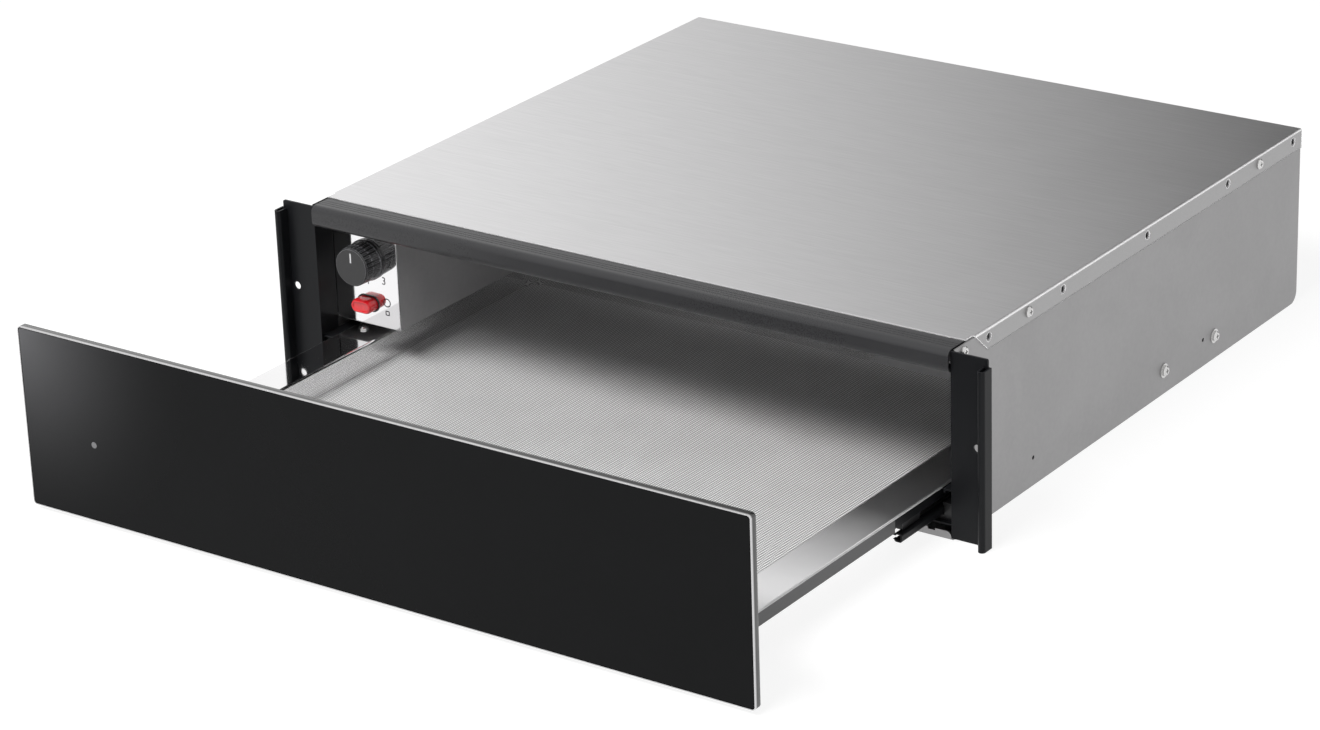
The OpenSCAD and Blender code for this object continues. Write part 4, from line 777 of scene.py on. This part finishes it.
class DRAWER_OT_print(bpy.types.Operator):
    """Prints the plain scale round the knob and two plain marks beside the button"""

    bl_idname = "drawer.print"
    bl_label = "Dial print"

    marks, spacing = 7, math.radians(45)
    numbered = (2, 3)

    def execute(self, context):
        sizes = context.scene.drawer_sizes
        bm = bmesh.new()
        self.scale(bm, sizes)
        button = sum(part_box("switch_button"), Vector()) / 2
        side = button.x + sizes.mark_side
        flat_ring(bm, (side, button.z + sizes.ring_up), sizes)
        middle, half = Vector((side, button.z - sizes.square_down)), sizes.square_side / 2
        corners = [middle + Vector(corner) * half for corner in ((-1, -1), (1, -1), (1, 1), (-1, 1))]
        for start, end in zip(corners, corners[1:] + corners[:1]):
            stroke(bm, start, end, sizes)
        upright(bm)
        bmesh.ops.translate(bm, verts=bm.verts, vec=(0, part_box("fascia")[0].y, 0))
        new_piece("dial_print", bm, "black_plastic", "housing", looks="ink")
        return {"FINISHED"}

    def scale(self, bm, sizes):
        """Goes round the knob clockwise from the top, with a number or a stroke at each mark."""
        low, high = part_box("knob")
        middle, radius = ((low + high) / 2).xz, (high.x - low.x) / 2
        for mark in range(self.marks):
            turn = math.pi / 2 - mark * self.spacing
            out = Vector((math.cos(turn), math.sin(turn)))
            if mark in self.numbered:
                number(bm, str(mark), middle + out * (radius + sizes.number_gap), sizes)
            else:
                stroke(bm, middle + out * (radius + sizes.stroke_from),
                       middle + out * (radius + sizes.stroke_to), sizes)


class DRAWER_OT_stage(bpy.types.Operator):
    """Sets the pale floor, the soft lamps, the grey board and the camera"""

    bl_idname = "drawer.stage"
    bl_label = "Studio"

    def execute(self, context):
        studio = context.scene.drawer_studio
        self.room(context, studio)
        self.floor(studio)
        self.lamp("overhead", studio.lamp_at, studio.lamp_aim, studio.lamp_size, studio.lamp)
        self.lamp("fill", studio.fill_at, studio.fill_aim, studio.fill_size, studio.fill)
        self.board(studio)
        self.camera(context, studio)
        context.scene.view_settings.view_transform = "Standard"
        return {"FINISHED"}

    def seen(self, tree):
        """1 for what the camera, gloss and glass see, 0 for the light that falls on the object."""
        path = add(tree, "LightPath").outputs
        first = maths(tree, "MAXIMUM", path["Is Camera Ray"], path["Is Glossy Ray"])
        return maths(tree, "MAXIMUM", first, path["Is Transmission Ray"])

    def room(self, context, studio):
        """White all round, but weaker where it lights the object."""
        world = context.scene.world = blank(bpy.data.worlds, "Room")
        tree = world.node_tree
        strength = ramp(tree, self.seen(tree), 0.0, 1.0, studio.sky, 1.0)
        light = add(tree, "Background", {"Color": (1, 1, 1, 1), "Strength": strength})
        tree.links.new(light.outputs[0], add(tree, "OutputWorld").inputs["Surface"])

    def floor(self, studio):
        """A pale floor that keeps its shadow near the drawer and is plain white far from it."""
        low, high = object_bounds()
        middle = Vector((*((low + high) / 2).xy, low.z))
        bm = bmesh.new()
        bmesh.ops.create_circle(bm, cap_ends=True, segments=96, radius=studio.floor_size)
        bmesh.ops.translate(bm, verts=bm.verts, vec=middle)
        paper = blank(bpy.data.materials, "Paper floor")
        tree = paper.node_tree
        away = vectors(tree, "DISTANCE", add(tree, "TexCoord").outputs["Object"], middle)
        fade = ramp(tree, away, studio.near, studio.far, interpolation_type="SMOOTHSTEP")
        white = maths(tree, "MULTIPLY", maths(tree, "MAXIMUM", fade, studio.pale), self.seen(tree))
        dull = add(tree, "BsdfDiffuse", {"Color": (*[studio.paper] * 3, 1)})
        glow = add(tree, "Emission", {"Color": (1, 1, 1, 1), "Strength": studio.glow})
        both = add(tree, "MixShader", {0: white, 1: dull.outputs[0], 2: glow.outputs[0]})
        tree.links.new(both.outputs[0], add(tree, "OutputMaterial").inputs["Surface"])
        mesh_object("floor", bm, paper)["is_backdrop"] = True

    def lamp(self, name, at, aim, size, power):
        """A soft lamp that lights the object and isn't seen in it."""
        light = bpy.data.lights.new(name, "AREA")
        light.shape, light.size, light.size_y, light.energy = "RECTANGLE", *size, power
        lamp = new_object(name, light)
        lamp.location = at
        lamp.rotation_euler = (Vector(aim) - Vector(at)).to_track_quat("-Z", "Y").to_euler()
        lamp.visible_camera = lamp.visible_glossy = False

    def board(self, studio):
        """A board behind the drawer, which only gloss sees: it darkens the cover towards the right."""
        turn = Matrix.Rotation(studio.azimuth, 3, "Z")
        right = turn @ Vector((1, 0, 0))
        foot = Vector((0, studio.board_axis, 0)) + turn @ Vector((0, studio.board_back, 0))
        shift, up = studio.board_shift
        bm = bmesh.new()
        bmesh.ops.create_grid(bm, x_segments=1, y_segments=1, size=0.5)
        bmesh.ops.scale(bm, verts=bm.verts, vec=(*studio.board_size, 1))
        upright(bm)
        bmesh.ops.rotate(bm, verts=bm.verts, matrix=turn)
        bmesh.ops.translate(bm, verts=bm.verts, vec=foot + right * shift + Vector((0, 0, up)))
        grey = blank(bpy.data.materials, "Grey board")
        tree = grey.node_tree
        side = vectors(tree, "DOT_PRODUCT", add(tree, "TexCoord").outputs["Object"], right)
        middle = foot.dot(right)
        shade = ramp(tree, side, middle + studio.board_from, middle + studio.board_to, studio.board_light,
                     0.0)
        shine = add(tree, "Emission", {"Color": (1, 1, 1, 1), "Strength": shade})
        tree.links.new(shine.outputs[0], add(tree, "OutputMaterial").inputs["Surface"])
        board = mesh_object("board", bm, grey)
        board.visible_camera = board.visible_diffuse = False
        board.visible_shadow = board.visible_transmission = False
        board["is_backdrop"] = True

    def camera(self, context, studio):
        """The photograph's camera."""
        lens = bpy.data.cameras.new("camera")
        lens.sensor_width, lens.lens = studio.sensor, studio.lens
        lens.clip_start, lens.clip_end = studio.clip_start, studio.clip_end
        camera = new_object("camera", lens)
        # a camera faces down until it is turned: round the drawer, up, and about its own axis
        turn = (Matrix.Rotation(studio.azimuth, 3, "Z")
                @ Matrix.Rotation(math.pi / 2 - studio.elevation, 3, "X")
                @ Matrix.Rotation(studio.roll, 3, "Z"))
        camera.matrix_world = Matrix.Translation(Vector(studio.camera_at)) @ turn.to_4x4()
        context.scene.camera = camera


GROUP_TYPES = {"drawer_sizes": DrawerSizes, "drawer_colours": DrawerColours, "drawer_shades": DrawerShades,
               "drawer_studio": DrawerStudio}
STEPS = (DRAWER_OT_finishes, DRAWER_OT_tray, DRAWER_OT_rim, DRAWER_OT_button, DRAWER_OT_print,
         DRAWER_OT_stage)


class DRAWER_PT_panel(bpy.types.Panel):
    """Lists the pieces and their values"""

    bl_idname = "DRAWER_PT_panel"
    bl_label = "Warming drawer"
    bl_space_type = "VIEW_3D"
    bl_region_type = "UI"
    bl_category = "Drawer"

    def draw(self, context):
        for step in STEPS:
            self.layout.operator(step.bl_idname)
        for name in GROUP_TYPES:
            group, box = getattr(context.scene, name), self.layout.box()
            for label in group.__annotations__:
                box.prop(group, label)


CLASSES = (*GROUP_TYPES.values(), *STEPS, DRAWER_PT_panel)


def register():
    """Adds the properties, the operators and the panel to Blender."""
    for kind in CLASSES:
        bpy.utils.register_class(kind)
    for name, kind in GROUP_TYPES.items():
        setattr(bpy.types.Scene, name, bpy.props.PointerProperty(type=kind))


def unregister():
    """Takes them out again."""
    for name in GROUP_TYPES:
        delattr(bpy.types.Scene, name)
    for kind in reversed(CLASSES):
        bpy.utils.unregister_class(kind)


def main():
    """Makes the whole scene, in the order of the steps."""
    register()
    bpy.ops.drawer.finishes()
    bpy.ops.drawer.tray()
    bpy.ops.drawer.rim()
    bpy.ops.drawer.button()
    bpy.ops.drawer.print()
    bpy.ops.drawer.stage()


if __name__ == "__main__":
    main()
